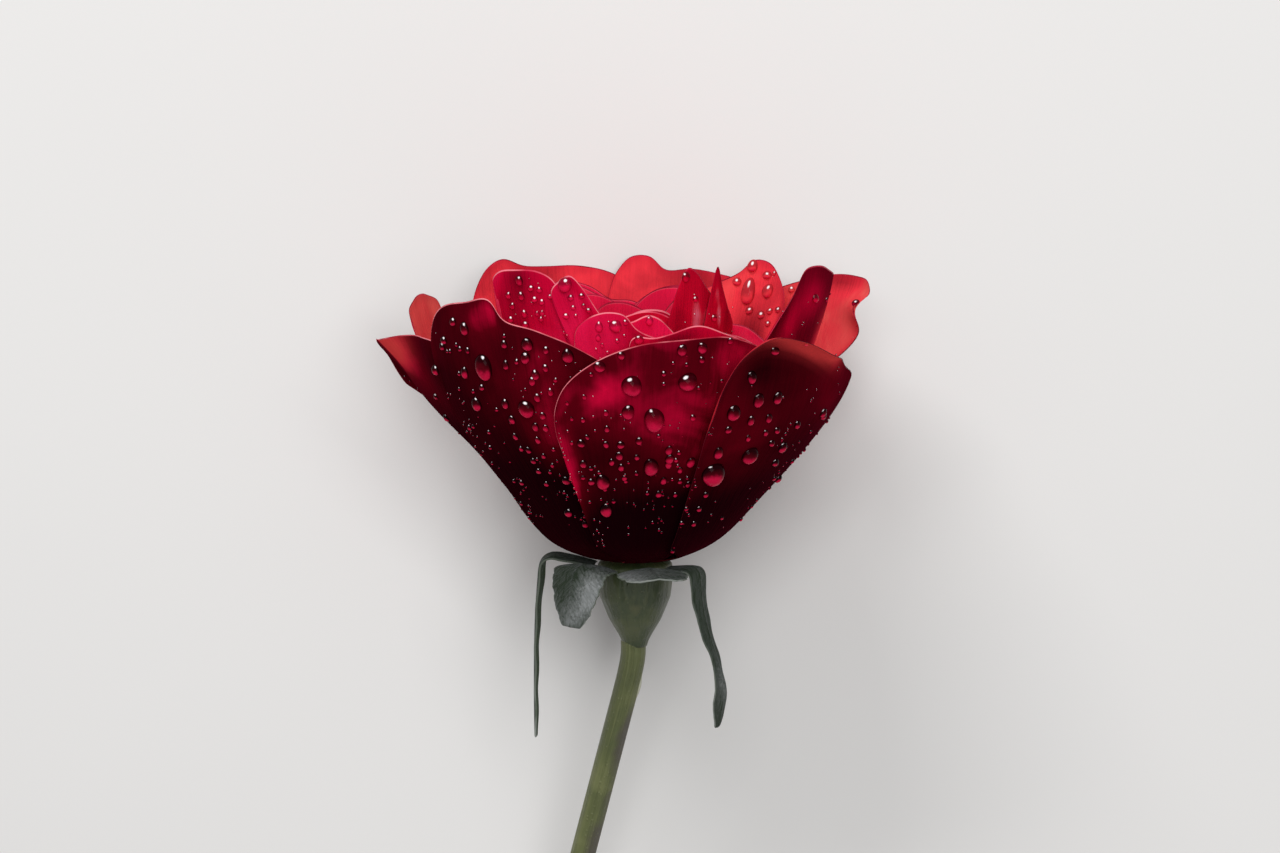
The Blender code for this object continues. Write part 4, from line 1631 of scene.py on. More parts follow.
@dataclass
class Dew:
    """Dew on the petals: the large drops that are seen one by one, and fine ones at random."""

    bloom: Bloom
    wet: tuple[Wet, ...]
    contact: float = math.radians(98)
    sunk: float = 0.08
    squash: float = 0.86
    spacing: float = 0.9
    room: tuple[float, float, float] = (0.12, 0.6, 2.4)
    ground_room: float = 1.5
    seed: int = 11
    stray: float = 0.012
    # The direction, halfway between the key lamp and the camera, on which each drop's painted highlight is
    # centred.
    mirror: tuple[float, float, float] = (-0.12, 0.44, 0.89)
    spots: dict[str, list] = field(default_factory=dict)

    def shape(self, radius: float) -> tuple[int, int]:
        """How finely a drop is made.

        Args:
            radius: The drop's radius in millimetres.

        Returns:
            Its segments and its rings.
        """
        if radius > 0.9:
            return 26, 10
        if radius > 0.42:
            return 16, 6
        if radius > 0.24:
            return 10, 4
        return 8, 3

    def dome(self, drop: Drop, at: Array, normal: Array, rise: Array, wobble: float) -> tuple[Array, list]:
        """Shapes one drop as a dome that is closed inside the petal.

        Args:
            drop: The drop.
            at: Its middle on the petal's face.
            normal: The face's normal there.
            rise: The direction towards the rim.
            wobble: Where its outline's waves start.

        Returns:
            Its points, and its faces as rows of their indices.
        """
        segments, rings = self.shape(drop.radius)
        side = np.cross(rise, normal)
        turn = np.linspace(0, math.tau, segments, endpoint=False)
        polar = np.linspace(0, self.contact, rings + 1)[1:]
        top = 1 - math.cos(self.contact)
        outline = 1 + 0.05 * np.sin(2 * turn + wobble) + 0.035 * np.sin(3 * turn + 2 * wobble)
        rows = [np.array([[0.0, -drop.sag, top]])]
        for angle in polar:
            high = math.cos(angle) - math.cos(self.contact)
            out = math.sin(angle) * outline
            down = -drop.sag * high / top
            along = out * np.sin(turn) * drop.long + down
            rows.append(np.stack([out * np.cos(turn), along, np.full(segments, high)], -1))
        foot = rows[-1].copy()
        foot[:, :2] *= 0.96
        foot[:, 2] = -self.sunk / drop.radius
        rows += [foot, np.array([[0.0, 0.0, -self.sunk / drop.radius]])]
        local = np.concatenate(rows) * drop.radius
        local[:, 2] *= self.squash
        points = at + local[:, :1] * side + local[:, 1:2] * rise + local[:, 2:] * normal
        return points, self.faces(segments, rings)

    def faces(self, segments: int, rings: int) -> list[tuple[int, ...]]:
        """The faces that join a drop's rows of points.

        Args:
            segments: How many points a row has.
            rings: How many rows the dome has.

        Returns:
            The faces as rows of indices.
        """
        faces = [(0, 1 + i, 1 + (i + 1) % segments) for i in range(segments)]
        for ring in range(rings):
            start, below = 1 + ring * segments, 1 + (ring + 1) * segments
            for i in range(segments):
                j = (i + 1) % segments
                faces.append((start + i, below + i, below + j, start + j))
        last = 1 + rings * segments
        faces += [(last + segments, last + (i + 1) % segments, last + i) for i in range(segments)]
        return faces

    def lay(self, drop: Drop, wobble: float) -> bool:
        """Lays one drop on its petal, unless another petal or drop is in its way.

        Args:
            drop: The drop.
            wobble: What its outline's irregularity is drawn from.

        Returns:
            True if there was room.
        """
        surface = self.bloom.surfaces[drop.petal]
        middle, normal, rise = surface.stand(drop.across, drop.up)
        normal = normal * drop.side.value
        half = self.bloom.thickness / 2
        at = middle + normal * half
        matrix = LYING.matrix()
        lift, least, share = self.room
        start = matrix @ Vector(at + normal * lift)
        direction = (matrix.to_3x3() @ Vector(normal)).normalized()
        room = (least + share * drop.radius) * MM
        if not self.bloom.clear_above(start, direction, room) or start.z < self.ground_room * MM:
            return False
        near = self.spots.setdefault(drop.petal, [])
        for place, radius, *_ in near:
            if np.linalg.norm(at - place) < self.spacing * (radius + drop.radius):
                return False
        points, faces = self.dome(drop, at, normal, rise, wobble)
        height = (points - at) @ normal / drop.radius
        near.append((at, drop.radius, points, faces, self.colour_under(drop, surface), height))
        return True

    def colour_under(self, drop: Drop, surface: PetalSurface) -> Array:
        """The petal's colour under a drop.

        Args:
            drop: The drop.
            surface: Its petal's middle surface.

        Returns:
            Red, green and blue.
        """
        whorl = surface.bowl.whorl
        skin = whorl.back if drop.side is Side.BACK else surface.petal.face or whorl.face
        across, up = np.array([drop.across]), np.array([drop.up])
        return skin.value.colour_at(surface.tone_and_painted_light(across, up)[0], surface.warmth(across, up)[0])

    def scatter(self, name: str, count: int, side: Side, draw: random.Random) -> None:
        """Lays fine drops on one face of a petal, some of them in lines down its veins.

        Args:
            name: The petal.
            count: How many drops are tried.
            side: The face.
            draw: Where their places are drawn from.
        """
        lines = [draw.random() for _ in range(max(3, count // 14))]
        for _ in range(count):
            in_line = draw.random() < 0.45
            across = draw.choice(lines) + draw.gauss(0, 0.004) if in_line else draw.random()
            across = min(max(across, 0.015), 0.985)
            up = 1 - 0.72 * draw.random() ** 0.8
            size = draw.random()
            radius = 0.1 + 0.11 * draw.random()
            if size > 0.72:
                radius = 0.2 + 0.2 * draw.random()
            if size > 0.93:
                radius = 0.4 + 0.35 * draw.random()
            long, sag = draw.uniform(1.0, 1.25), draw.uniform(0.1, 0.3)
            drop = Drop(name, across, min(up, 0.99), radius, long, sag, side)
            self.lay(drop, draw.uniform(0, math.tau))

    def lay_trickle(self, wet: Wet, trickle: Trickle, draw: random.Random) -> None:
        """Lays the drops of one trickle, a little off their line.

        Args:
            wet: The face of the petal that they sit on.
            trickle: The drops.
            draw: Where their small differences are drawn from.
        """
        for number in range(trickle.count):
            across = trickle.across + self.stray * draw.uniform(-1, 1) * min(number, 1)
            up = trickle.up - trickle.step * number * draw.uniform(0.9, 1.1)
            radius = trickle.radius * trickle.growth**number
            drop = Drop(wet.petal, across, up, radius, trickle.long, draw.uniform(0.15, 0.35), wet.side)
            if not self.lay(drop, draw.uniform(0, math.tau)):
                LOG.info("no room for a drop on %s at %.2f, %.2f", wet.petal, across, up)

    def build(self) -> None:
        """Lays all the dew and makes one piece of it for each petal."""
        draw = random.Random(self.seed)
        for wet in self.wet:
            for row in wet.trickles:
                self.lay_trickle(wet, Trickle(*row), draw)
        for name, surface in self.bloom.surfaces.items():
            self.scatter(name, surface.petal.dew, Side.BACK, draw)
            self.scatter(name, surface.petal.face_dew, Side.FACE, draw)
        water = DewWater().material()
        for name, spots in self.spots.items():
            if spots:
                self.build_piece(name.replace("petal", "dew"), spots, water)

    def build_piece(self, name: str, spots: list, water: Material) -> None:
        """Joins the drops of one petal into a piece, and marks where their painted highlights, shade and
        light go.

        Args:
            name: The piece's name.
            spots: The drops, as lay stores them.
            water: Their material.
        """
        points, faces = [], []
        for _, _, some, joins, *_ in spots:
            start = sum(len(part) for part in points)
            points.append(some)
            faces += [tuple(start + v for v in face) for face in joins]
        mesh = bpy.data.meshes.new(name)
        mesh.from_pydata(LYING.points(np.concatenate(points)).tolist(), [], faces)
        mesh.shade_smooth()
        normals = np.zeros(3 * len(mesh.vertices), dtype=np.float32)
        mesh.vertices.foreach_get("normal", normals)
        normals = normals.reshape(-1, 3)
        radii = np.concatenate([np.full(len(some), radius) for _, radius, some, *_ in spots])
        # Painted highlight where a drop's normal points along the mirror direction.
        mirror = np.array(self.mirror) / np.linalg.norm(self.mirror)
        off = np.degrees(np.arccos(np.clip(normals @ mirror, -1, 1)))
        spread = np.interp(radii, (0.2, 1.2), (26.0, 14.0))
        set_number(mesh, "painted_glint", np.clip(1.25 - off / spread, 0, 1))
        # Low runs from 0 at a drop's top, given painted shade, to 1 at its low side, given painted light;
        # points near its foot count as nearer the top.
        height = np.concatenate([spot[5] for spot in spots])
        set_number(mesh, "low", 0.5 - 0.5 * normals[:, 1] - 0.3 * (1 - eased(height / 0.45)))
        under = np.concatenate(
            [np.tile([*colour, 1.0], (len(some), 1)) for _, _, some, _, colour, _ in spots]
        )
        layer = mesh.attributes.new("under", "FLOAT_COLOR", "POINT")
        layer.data.foreach_set("color", under.astype(np.float32).ravel())
        report(add_piece(name, mesh, [water]))


WET_PETALS = (
    Wet("petal_outer_2", (
        (0.38, 0.82, 1.4, 1.5), (0.52, 0.75, 1.3, 1.1), (0.55, 0.95, 0.9, 1.25, 3, 0.04, 0.85),
        (0.6, 0.95, 0.5, 1.3, 3, 0.06, 1), (0.66, 0.96, 0.9, 1.35, 2, 0.09, 0.65),
        (0.55, 0.84, 0.55, 1.4, 4, 0.05, 0.95), (0.48, 0.92, 0.5, 1.4, 2, 0.07, 1.1),
        (0.42, 0.71, 0.6, 1.5, 4, 0.05, 0.85), (0.53, 0.69, 0.55, 1.4, 4, 0.05, 0.85),
        (0.34, 0.93, 0.8, 1.3, 2, 0.06, 0.5), (0.3, 0.95, 0.6, 1.2, 2, 0.07, 0.65),
        (0.31, 0.81, 0.7, 1.4, 2, 0.09, 1.25), (0.45, 0.57, 0.5, 1.2, 4, 0.04, 0.95),
        (0.25, 0.91, 0.6, 1.1),
    )),
    Wet("petal_outer_3", (
        (0.34, 0.88, 1.5, 1.1), (0.33, 0.8, 1, 1.15), (0.4, 0.76, 1.6, 1.2), (0.48, 0.87, 1.5, 0.9),
        (0.4, 0.58, 1.2, 1.4), (0.54, 0.67, 1.2, 1.35, 3, 0.09, 0.6), (0.46, 0.97, 0.8, 1.1),
        (0.51, 0.97, 0.8, 1.1, 2, 0.04, 0.6), (0.45, 0.64, 0.6, 1.4, 4, 0.06, 0.95),
        (0.36, 0.69, 0.55, 1.2, 3, 0.07, 0.8), (0.23, 0.57, 1.1, 1.3, 2, 0.13, 0.9),
        (0.18, 0.77, 0.6, 1.2, 3, 0.08, 0.95), (0.3, 0.65, 0.6, 1.4, 3, 0.05, 0.85), (0.26, 0.98, 0.9, 0.9),
        (0.27, 0.82, 0.4, 1.5, 4, 0.06, 1.05), (0.21, 0.91, 0.35, 1.4, 3, 0.07, 1),
        (0.15, 0.94, 0.3, 1.3, 3, 0.07, 1), (0.5, 0.55, 0.45, 1.3, 3, 0.05, 0.9),
        (0.42, 0.9, 0.4, 1.1, 2, 0.03, 0.7),
    )),
    Wet("petal_outer_4", (
        (0.18, 0.58, 1.9, 1.15), (0.29, 0.6, 1.4, 1), (0.19, 0.79, 1.1, 1.15, 2, 0.05, 0.5),
        (0.17, 0.67, 0.8, 1.3), (0.26, 0.78, 0.9, 1.3, 3, 0.06, 0.7), (0.31, 0.79, 0.8, 1.3, 3, 0.06, 0.75),
        (0.23, 0.86, 0.8, 1.3), (0.35, 0.69, 0.55, 1.05, 2, 0.05, 1), (0.43, 0.73, 0.6, 1.2, 2, 0.09, 1.3),
        (0.28, 0.92, 0.8, 0.8), (0.19, 0.48, 0.45, 1.2, 3, 0.06, 1),
    )),
    Wet("petal_outer_5", ((0.53, 0.98, 0.6, 1),), Side.FACE),
    Wet("petal_second_1", (
        (0.36, 0.97, 0.6, 1.3, 3, 0.045, 0.9), (0.31, 0.93, 0.5, 1.1, 3, 0.03, 1),
        (0.4, 0.95, 0.5, 1, 2, 0.03, 1), (0.43, 0.95, 0.45, 1.2, 4, 0.03, 0.95), (0.36, 0.85, 0.55, 1),
    )),
    Wet("petal_second_2", (
        (0.29, 0.98, 1.1, 1), (0.3, 0.94, 0.5, 1, 3, 0.025, 0.8), (0.25, 0.91, 0.5, 1),
        (0.36, 0.97, 0.45, 1, 2, 0.03, 0.8), (0.39, 0.95, 0.4, 1),
    )),
    Wet("petal_second_3", (
        (0.22, 0.96, 0.6, 1.4, 3, 0.03, 0.7), (0.28, 0.96, 0.9, 1.1, 2, 0.05, 0.4),
        (0.32, 0.98, 0.45, 1, 2, 0.04, 0.6),
    )),
    Wet("petal_second_5", ((0.37, 0.91, 0.7, 1),)),
    Wet("petal_second_6", (
        (0.38, 0.98, 1, 1), (0.38, 0.9, 1.3, 1.7), (0.31, 0.96, 0.8, 0.9), (0.29, 0.92, 1, 1.2),
        (0.3, 0.84, 0.7, 1), (0.36, 0.84, 0.7, 1), (0.25, 0.88, 0.6, 1, 2, 0.035, 0.9),
        (0.19, 0.93, 0.55, 1), (0.46, 0.97, 0.75, 1),
    ), Side.FACE),
    Wet("petal_third_1", ((0.52, 0.98, 0.6, 1.3),)),
    Wet("petal_fourth_2", ((0.37, 0.98, 0.7, 1.2), (0.49, 0.91, 0.5, 1),)),
)  # fmt: skip


# ---- Sepals, hypanthium, stem and centre ----


@dataclass(frozen=True)
class Sepal:
    """One sepal: its azimuth, how far out it turns down, its length, half widths, path's dips and felt."""

    name: str
    azimuth: float
    out: float
    length: float
    half_widths: tuple[float, ...]
    dips: tuple[float, ...]
    felt: float
    silver: tuple[ToneAndPaintedLightPatch, ...] = ()


SEPALS = (
    Sepal(
        "sepal_left", 172, 9.2, 39.6, (2.2, 2.8, 2.8, 1.9, 1.3, 1.0, 0.6), (-14, -10, 84, 89, 91), 0.1,
        (ToneAndPaintedLightPatch(0.5, 0.7, 0.6, 0.2, 0.4),),
    ),
    Sepal(
        "sepal_front_left", 227, 7.4, 16.8, (2.3, 3.3, 5.2, 5.7, 4.8, 3.5, 2.0), (-18, -12, 72, 82, 90), 0.12,
        (
            ToneAndPaintedLightPatch(0.86, 0.66, 0.22, 0.24, 1.3), ToneAndPaintedLightPatch(0.5, 0.92, 0.3, 0.14, 0.8),
            ToneAndPaintedLightPatch(0.02, 0.85, 0.06, 0.14, 0.8),
        ),
    ),
    Sepal(
        "sepal_front", 281, 6.0, 14.0, (2.2, 2.9, 4.4, 5.5, 5.5, 4.6, 3.0), (-17, -13, -5, 1, 8), 0.1,
        (ToneAndPaintedLightPatch(0.05, 0.75, 0.25, 0.45, 1.2), ToneAndPaintedLightPatch(0.6, 0.9, 0.3, 0.2, 0.3)),
    ),
    Sepal(
        "sepal_right", 328, 5.8, 32.0, (2.2, 2.5, 2.2, 1.6, 1.2, 1.9, 0.6), (-10, -6, 88, 66, 108), 0.1,
        (ToneAndPaintedLightPatch(0.6, 0.74, 0.6, 0.1, 0.7),),
    ),
    Sepal("sepal_back", 92, 6.5, 26.0, (2.3, 3.2, 3.8, 3.0, 1.7, 0.9, 0.5), (-14, -8, 78, 88, 94), 0.3),
)  # fmt: skip


@dataclass
class Calyx:
    """The five sepals, bent back from the bloom."""

    foot: tuple[float, float] = (6.45, -0.35)
    width_places: tuple[float, ...] = (0.0, 0.12, 0.28, 0.5, 0.7, 0.88, 1.0)
    keel: float = 0.14
    steps: int = 40
    cells: tuple[int, int] = (14, 48)
    thickness: float = 0.4

    def path(self, sepal: Sepal) -> tuple[Array, Array, Array]:
        """The radii, heights and dips of a sepal's midline, step by step.

        Args:
            sepal: The sepal.

        Returns:
            One number of each for every step.
        """
        out = sepal.out / sepal.length
        places = (0.0, 0.72 * out, 1.15 * out, 0.5 + 0.5 * out, 1.0)
        middle = (np.arange(self.steps) + 0.5) / self.steps
        dips = np.radians(np.interp(middle, places, sepal.dips))
        stride = sepal.length / self.steps
        radii = self.foot[0] + np.concatenate([[0], np.cumsum(stride * np.cos(dips))])
        heights = self.foot[1] - np.concatenate([[0], np.cumsum(stride * np.sin(dips))])
        return radii, heights, np.concatenate([dips[:1], dips])

    def points(self, sepal: Sepal, across: Array, up: Array) -> Array:
        """A sepal's middle surface in the flower's frame.

        Args:
            sepal: The sepal.
            across: Places across it.
            up: Places along it.

        Returns:
            One row of x, y, z in millimetres for each place.
        """
        marks = np.linspace(0, 1, self.steps + 1)
        radii, heights, dips = (curve_through(marks, row, up) for row in self.path(sepal))
        half = curve_through(self.width_places, sepal.half_widths, up)
        tooth = 0.05 * np.sin(up * 150) + 0.03 * np.sin(up * 61)
        half = np.maximum(half * (1 + tooth * np.abs(2 * across - 1) ** 6), 0.15)
        offset = 2 * across - 1
        lift = self.keel * half * offset**2
        pucker = 0.1 * np.sin(up * 34 + 3 * np.abs(offset)) * np.abs(offset) * eased(up / 0.2)
        groove = -0.16 * np.exp(-((offset / 0.14) ** 2))
        lift = lift + pucker + groove
        angle = math.radians(sepal.azimuth)
        out = np.array([math.cos(angle), math.sin(angle), 0.0])
        side = np.array([-math.sin(angle), math.cos(angle), 0.0])
        radius = radii - lift * np.sin(dips)
        height = heights - lift * np.cos(dips)
        wide = (offset * half)[:, None] * side
        return radius[:, None] * out + wide + height[:, None] * UP

    def build(self) -> None:
        """Builds the five sepals."""
        under = LeafFelt("sepal_underside", (0.03, 0.052, 0.018), (0.1, 0.13, 0.08)).material()
        over = LeafFelt("sepal_felt").material()
        edge = PetalRim("sepal_edge", (0.1, 0.12, 0.09), (0.3, 0.32, 0.3)).material()
        for sepal in SEPALS:
            mesh, across, up = grid_mesh(sepal.name + "_mesh", *self.cells)
            set_points(mesh, self.points(sepal, across, up))
            felt = sepal.felt + 0 * up
            for spot in sepal.silver:
                felt = felt + spot.by * spot.near(across, up)
            set_number(mesh, "tone_and_painted_light", felt)
            materials = [under, over, edge]
            piece = add_piece(sepal.name + "_skin", mesh, materials)
            thicken(piece, self.thickness)
            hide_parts(sepal.name)
            report(piece, sepal.name)


@dataclass
class Hypanthium:
    """The green urn under the bloom, with a shallow mouth inside the petals' feet."""

    profile: tuple[tuple[float, float], ...] = (
        (0.0, 2.2), (2.4, 2.2), (5.4, 0.18), (5.9, 0.05), (6.15, -0.4), (6.2, -2.6), (5.8, -5.8),
        (4.3, -9.5), (2.8, -12.0), (2.1, -13.4), (2.05, -14.0), (0.0, -14.0),
    )  # fmt: skip
    # Where the hypanthium's pale painted highlight is centred, as a turn in radians and a height, and how far
    # it spreads.
    painted_highlight_at: tuple[float, float] = (4.72, -8.0)
    painted_highlight_size: tuple[float, float] = (0.4, 3.2)
    sides: int = 60
    rings: int = 48

    def build(self) -> None:
        """Turns the profile and dresses it."""
        finish = GreenRind(
            name="hypanthium_rind",
            deep=(0.016, 0.026, 0.009),
            green=(0.034, 0.048, 0.016),
            pale=(0.08, 0.09, 0.036),
            # The pale colour of the painted highlight on the hypanthium's camera side.
            flush_and_highlight=(0.13, 0.12, 0.05),
        )
        mesh, around, down = grid_mesh("hypanthium_mesh", self.sides, self.rings)
        lengths = np.hypot(*np.diff(np.array(self.profile), axis=0).T)
        places = np.concatenate([[0], np.cumsum(lengths)]) / lengths.sum()
        radius = np.interp(down, places, [r for r, _ in self.profile])
        height = np.interp(down, places, [h for _, h in self.profile])
        waist = 1 + 0.012 * np.sin(5 * math.tau * around) * (radius > 1) * (height < -1)
        angle = math.tau * around
        points = np.stack([radius * waist * np.cos(angle), radius * waist * np.sin(angle), height], -1)
        set_points(mesh, points)
        # Painted highlight: a pale patch on the side that faces the camera.
        turn = (angle - self.painted_highlight_at[0]) / self.painted_highlight_size[0]
        below = (height - self.painted_highlight_at[1]) / self.painted_highlight_size[1]
        set_number(mesh, "tone_and_painted_light", 0.34 * np.exp(-(turn**2) - below**2) - 0.04)
        weld(mesh)
        piece = add_piece("hypanthium_skin", mesh, [finish.material()])
        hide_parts("hypanthium")
        report(piece, "hypanthium")


def weld(mesh: Mesh) -> None:
    """Joins a turned mesh's seam and poles, and turns its faces outward."""
    bm = bmesh.new()
    bm.from_mesh(mesh)
    bmesh.ops.remove_doubles(bm, verts=bm.verts, dist=0.000004)
    bmesh.ops.dissolve_degenerate(bm, dist=0.000002, edges=bm.edges)
    bmesh.ops.recalc_face_normals(bm, faces=bm.faces)
    bm.to_mesh(mesh)
    bm.free()
    mesh.shade_smooth()


def add_ring(bm: BMesh, middle: Array, first: Array, second: Array, sides: int) -> list[BMVert]:
    """Adds a closed ring of vertices, laid down with the flower.

    Args:
        bm: The mesh that it is added to.
        middle: The ring's middle, in the flower's frame.
        first: Its half width in one direction.
        second: Its half width across that.
        sides: How many vertices it has.

    Returns:
        The ring's vertices in order.
    """
    matrix = LYING.matrix()
    turns = [math.tau * k / sides for k in range(sides)]
    places = [middle + first * math.cos(turn) + second * math.sin(turn) for turn in turns]
    return [bm.verts.new(matrix @ Vector(place)) for place in places]


def join_rings(bm: BMesh, rings: list[list[BMVert]], material: int) -> None:
    """Joins rings into a tube with closed ends.

    Args:
        bm: The mesh that they are in.
        rings: The rings in order.
        material: The index of the tube's material.
    """
    for low, high in zip(rings, rings[1:]):
        for a, b, c, d in zip(low, low[1:] + low[:1], high[1:] + high[:1], high):
            face = bm.faces.new((a, b, c, d))
            face.material_index = material
            face.smooth = True
    for cap in (rings[0][::-1], rings[-1]):
        bm.faces.new(cap).material_index = material


@dataclass
class Stem:
    """The leaning, drooping stem with its prickles, a scar near the top and a slanted cut."""

    radius: float = 2.05
    length: float = 131.0
    top: float = -14.7
    droop: float = 7.3
    droop_power: float = 1.6
    aside: float = -0.3
    lean: float = 0.255
    ease: float = 2.0
    cut_angle: float = math.radians(32.0)
    trim: float = 2.0
    start: float = -0.012
    sides: int = 40
    rings: int = 170
    prickles: tuple[tuple[float, float], ...] = ((0.27, 15.0), (0.46, 200.0), (0.62, -60.0), (0.8, 150.0))

    def centre(self, share: Array) -> Array:
        """The stem's centre line in the flower's frame.

        Args:
            share: How far down the stem, from 0 to 1.

        Returns:
            One row of x, y, z in millimetres for each place.
        """
        down = self.length * share
        below = np.maximum(down, 0.0)
        slid = below - self.ease * (1 - np.exp(-below / self.ease))
        hang = self.droop * np.maximum(share, 0.0) ** self.droop_power
        return np.stack([self.aside - self.lean * slid, hang, self.top - down], axis=-1)

    def frame_at(self, share: Array) -> tuple[Array, Array, Array]:
        """The stem's own directions.

        Args:
            share: How far down the stem, from 0 to 1.

        Returns:
            Two directions across the stem, and the one along it.
        """
        along = self.centre(share + 0.002) - self.centre(share - 0.002)
        along /= np.linalg.norm(along, axis=-1, keepdims=True)
        first = np.cross(along, [0.0, 1.0, 0.0])
        first /= np.linalg.norm(first, axis=-1, keepdims=True)
        return first, np.cross(first, along), along

    def build(self) -> None:
        """Builds the rind, the prickles and the cut end as one piece."""
        rind = GreenRind(
            name="stem_rind",
            deep=(0.045, 0.058, 0.016),
            green=(0.09, 0.105, 0.032),
            pale=(0.16, 0.17, 0.065),
            flush_and_highlight=(0.062, 0.045, 0.044),
            flush_and_highlight_from=0.62,
            roughness=0.46,
        )
        horn = GreenRind(
            name="prickle_horn",
            deep=(0.16, 0.02, 0.015),
            green=(0.3, 0.06, 0.03),
            pale=(0.5, 0.26, 0.12),
            flush_and_highlight=(0.08, 0.01, 0.01),
        )
        mesh, around, down = grid_mesh("stem_mesh", self.sides, self.rings)
        down = self.start + (1 - self.start) * down
        first, second, along = self.frame_at(down)
        angle = math.tau * around
        rib = 1 + 0.016 * np.cos(6 * angle + 5 * down) + 0.01 * np.sin(11 * angle - 8 * down)
        knot = 0.1 * np.exp(-(((down - 0.42) / 0.018) ** 2)) * (1 + np.cos(angle)) / 2
        radius = self.radius * (rib - 0.01 + knot)
        points = self.centre(down) + radius[:, None] * (
            np.cos(angle)[:, None] * first + np.sin(angle)[:, None] * second
        )
        set_points(mesh, points)
        set_number(mesh, "tone_and_painted_light", 0.34 * np.cos(angle + 0.3) * eased(down / 0.14) + 0.06)
        bm = bmesh.new()
        bm.from_mesh(mesh)
        bmesh.ops.remove_doubles(bm, verts=bm.verts, dist=0.000004)
        self.trim_ends(bm)
        for share, azimuth in self.prickles:
            self.add_prickle(bm, share, azimuth)
        self.add_scar(bm)
        bmesh.ops.recalc_face_normals(bm, faces=bm.faces)
        bm.to_mesh(mesh)
        bm.free()
        materials = [rind.material(), CutPith().material(), horn.material()]
        piece = add_piece("stem_skin", mesh, materials)
        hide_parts("stem")
        report(piece, "stem")

    def trim_ends(self, bm: BMesh) -> None:
        """Cuts the lower end on a slant and closes both ends."""
        first, second, along = (row[0] for row in self.frame_at(np.array([1.0])))
        slant = Matrix.Rotation(self.cut_angle, 3, "Y") @ Vector(along)
        place = self.centre(np.array([1.0]))[0] - along * self.trim
        matrix = LYING.matrix()
        normal = (matrix.to_3x3() @ slant).normalized()
        everything = bm.verts[:] + bm.edges[:] + bm.faces[:]
        point = matrix @ Vector(place)
        bmesh.ops.bisect_plane(bm, geom=everything, plane_co=point, plane_no=normal, clear_outer=True)
        layer = bm.verts.layers.float.get("tone_and_painted_light")
        loops = [edge for edge in bm.edges if edge.is_boundary]
        caps = bmesh.ops.holes_fill(bm, edges=loops)["faces"]
        for cap in caps:
            made = bmesh.ops.inset_region(bm, faces=[cap], thickness=0.00028)["faces"]
            for face in made:
                face.material_index = 1
            cap.material_index = 1
            centre = cap.calc_center_median()
            fan = bmesh.ops.poke(bm, faces=[cap])
            for vertex in fan["verts"]:
                vertex[layer] = 0.0
                vertex.co = centre
            for face in fan["faces"]:
                face.material_index = 1
                for vertex in face.verts:
                    if vertex not in fan["verts"]:
                        vertex[layer] = 0.7

    def add_prickle(self, bm: BMesh, share: float, azimuth: float) -> None:
        """One curved prickle with a broad oval foot.

        Args:
            bm: The stem's mesh.
            share: How far down the stem it stands.
            azimuth: The side that it stands on.
        """
        sides, rings = 18, 12
        length, foot, tip, sunk = 3.4, 1.5, 0.1, 0.5
        centre = self.centre(np.array([share]))[0]
        angle = math.radians(azimuth)
        out = np.array([math.cos(angle), math.sin(angle), -0.35])
        out /= np.linalg.norm(out)
        _, _, along = (row[0] for row in self.frame_at(np.array([share])))
        flat = np.cross(out, along)
        flat /= np.linalg.norm(flat)
        rows = []
        for part in np.linspace(0, 1, rings + 1):
            size = tip + (foot - tip) * (1 - part) ** 1.7
            middle = centre + out * (self.radius - sunk + length * part) + along * 0.5 * part**2
            rows.append(add_ring(bm, middle, flat * size * 0.72, along * size, sides))
        join_rings(bm, rows, 2)

    def add_scar(self, bm: BMesh) -> None:
        """A small pale bract scale near the top, on the stem's right."""
        sides, rings = 16, 10
        start, reach, half, sunk = 0.028, 0.034, 0.62, 0.12
        rows = []
        for part in np.linspace(0, 1, rings + 1):
            share = np.array([start + reach * part])
            first, _, along = (row[0] for row in self.frame_at(share))
            out = -first if first[0] < 0 else first
            size = half * math.sin(math.pi * min(max(part, 0.03), 0.97)) ** 0.8
            middle = self.centre(share)[0] + out * (self.radius - sunk)
            rows.append(add_ring(bm, middle, out * 0.62 * size, np.cross(out, along) * size, sides))
        join_rings(bm, rows, 1)


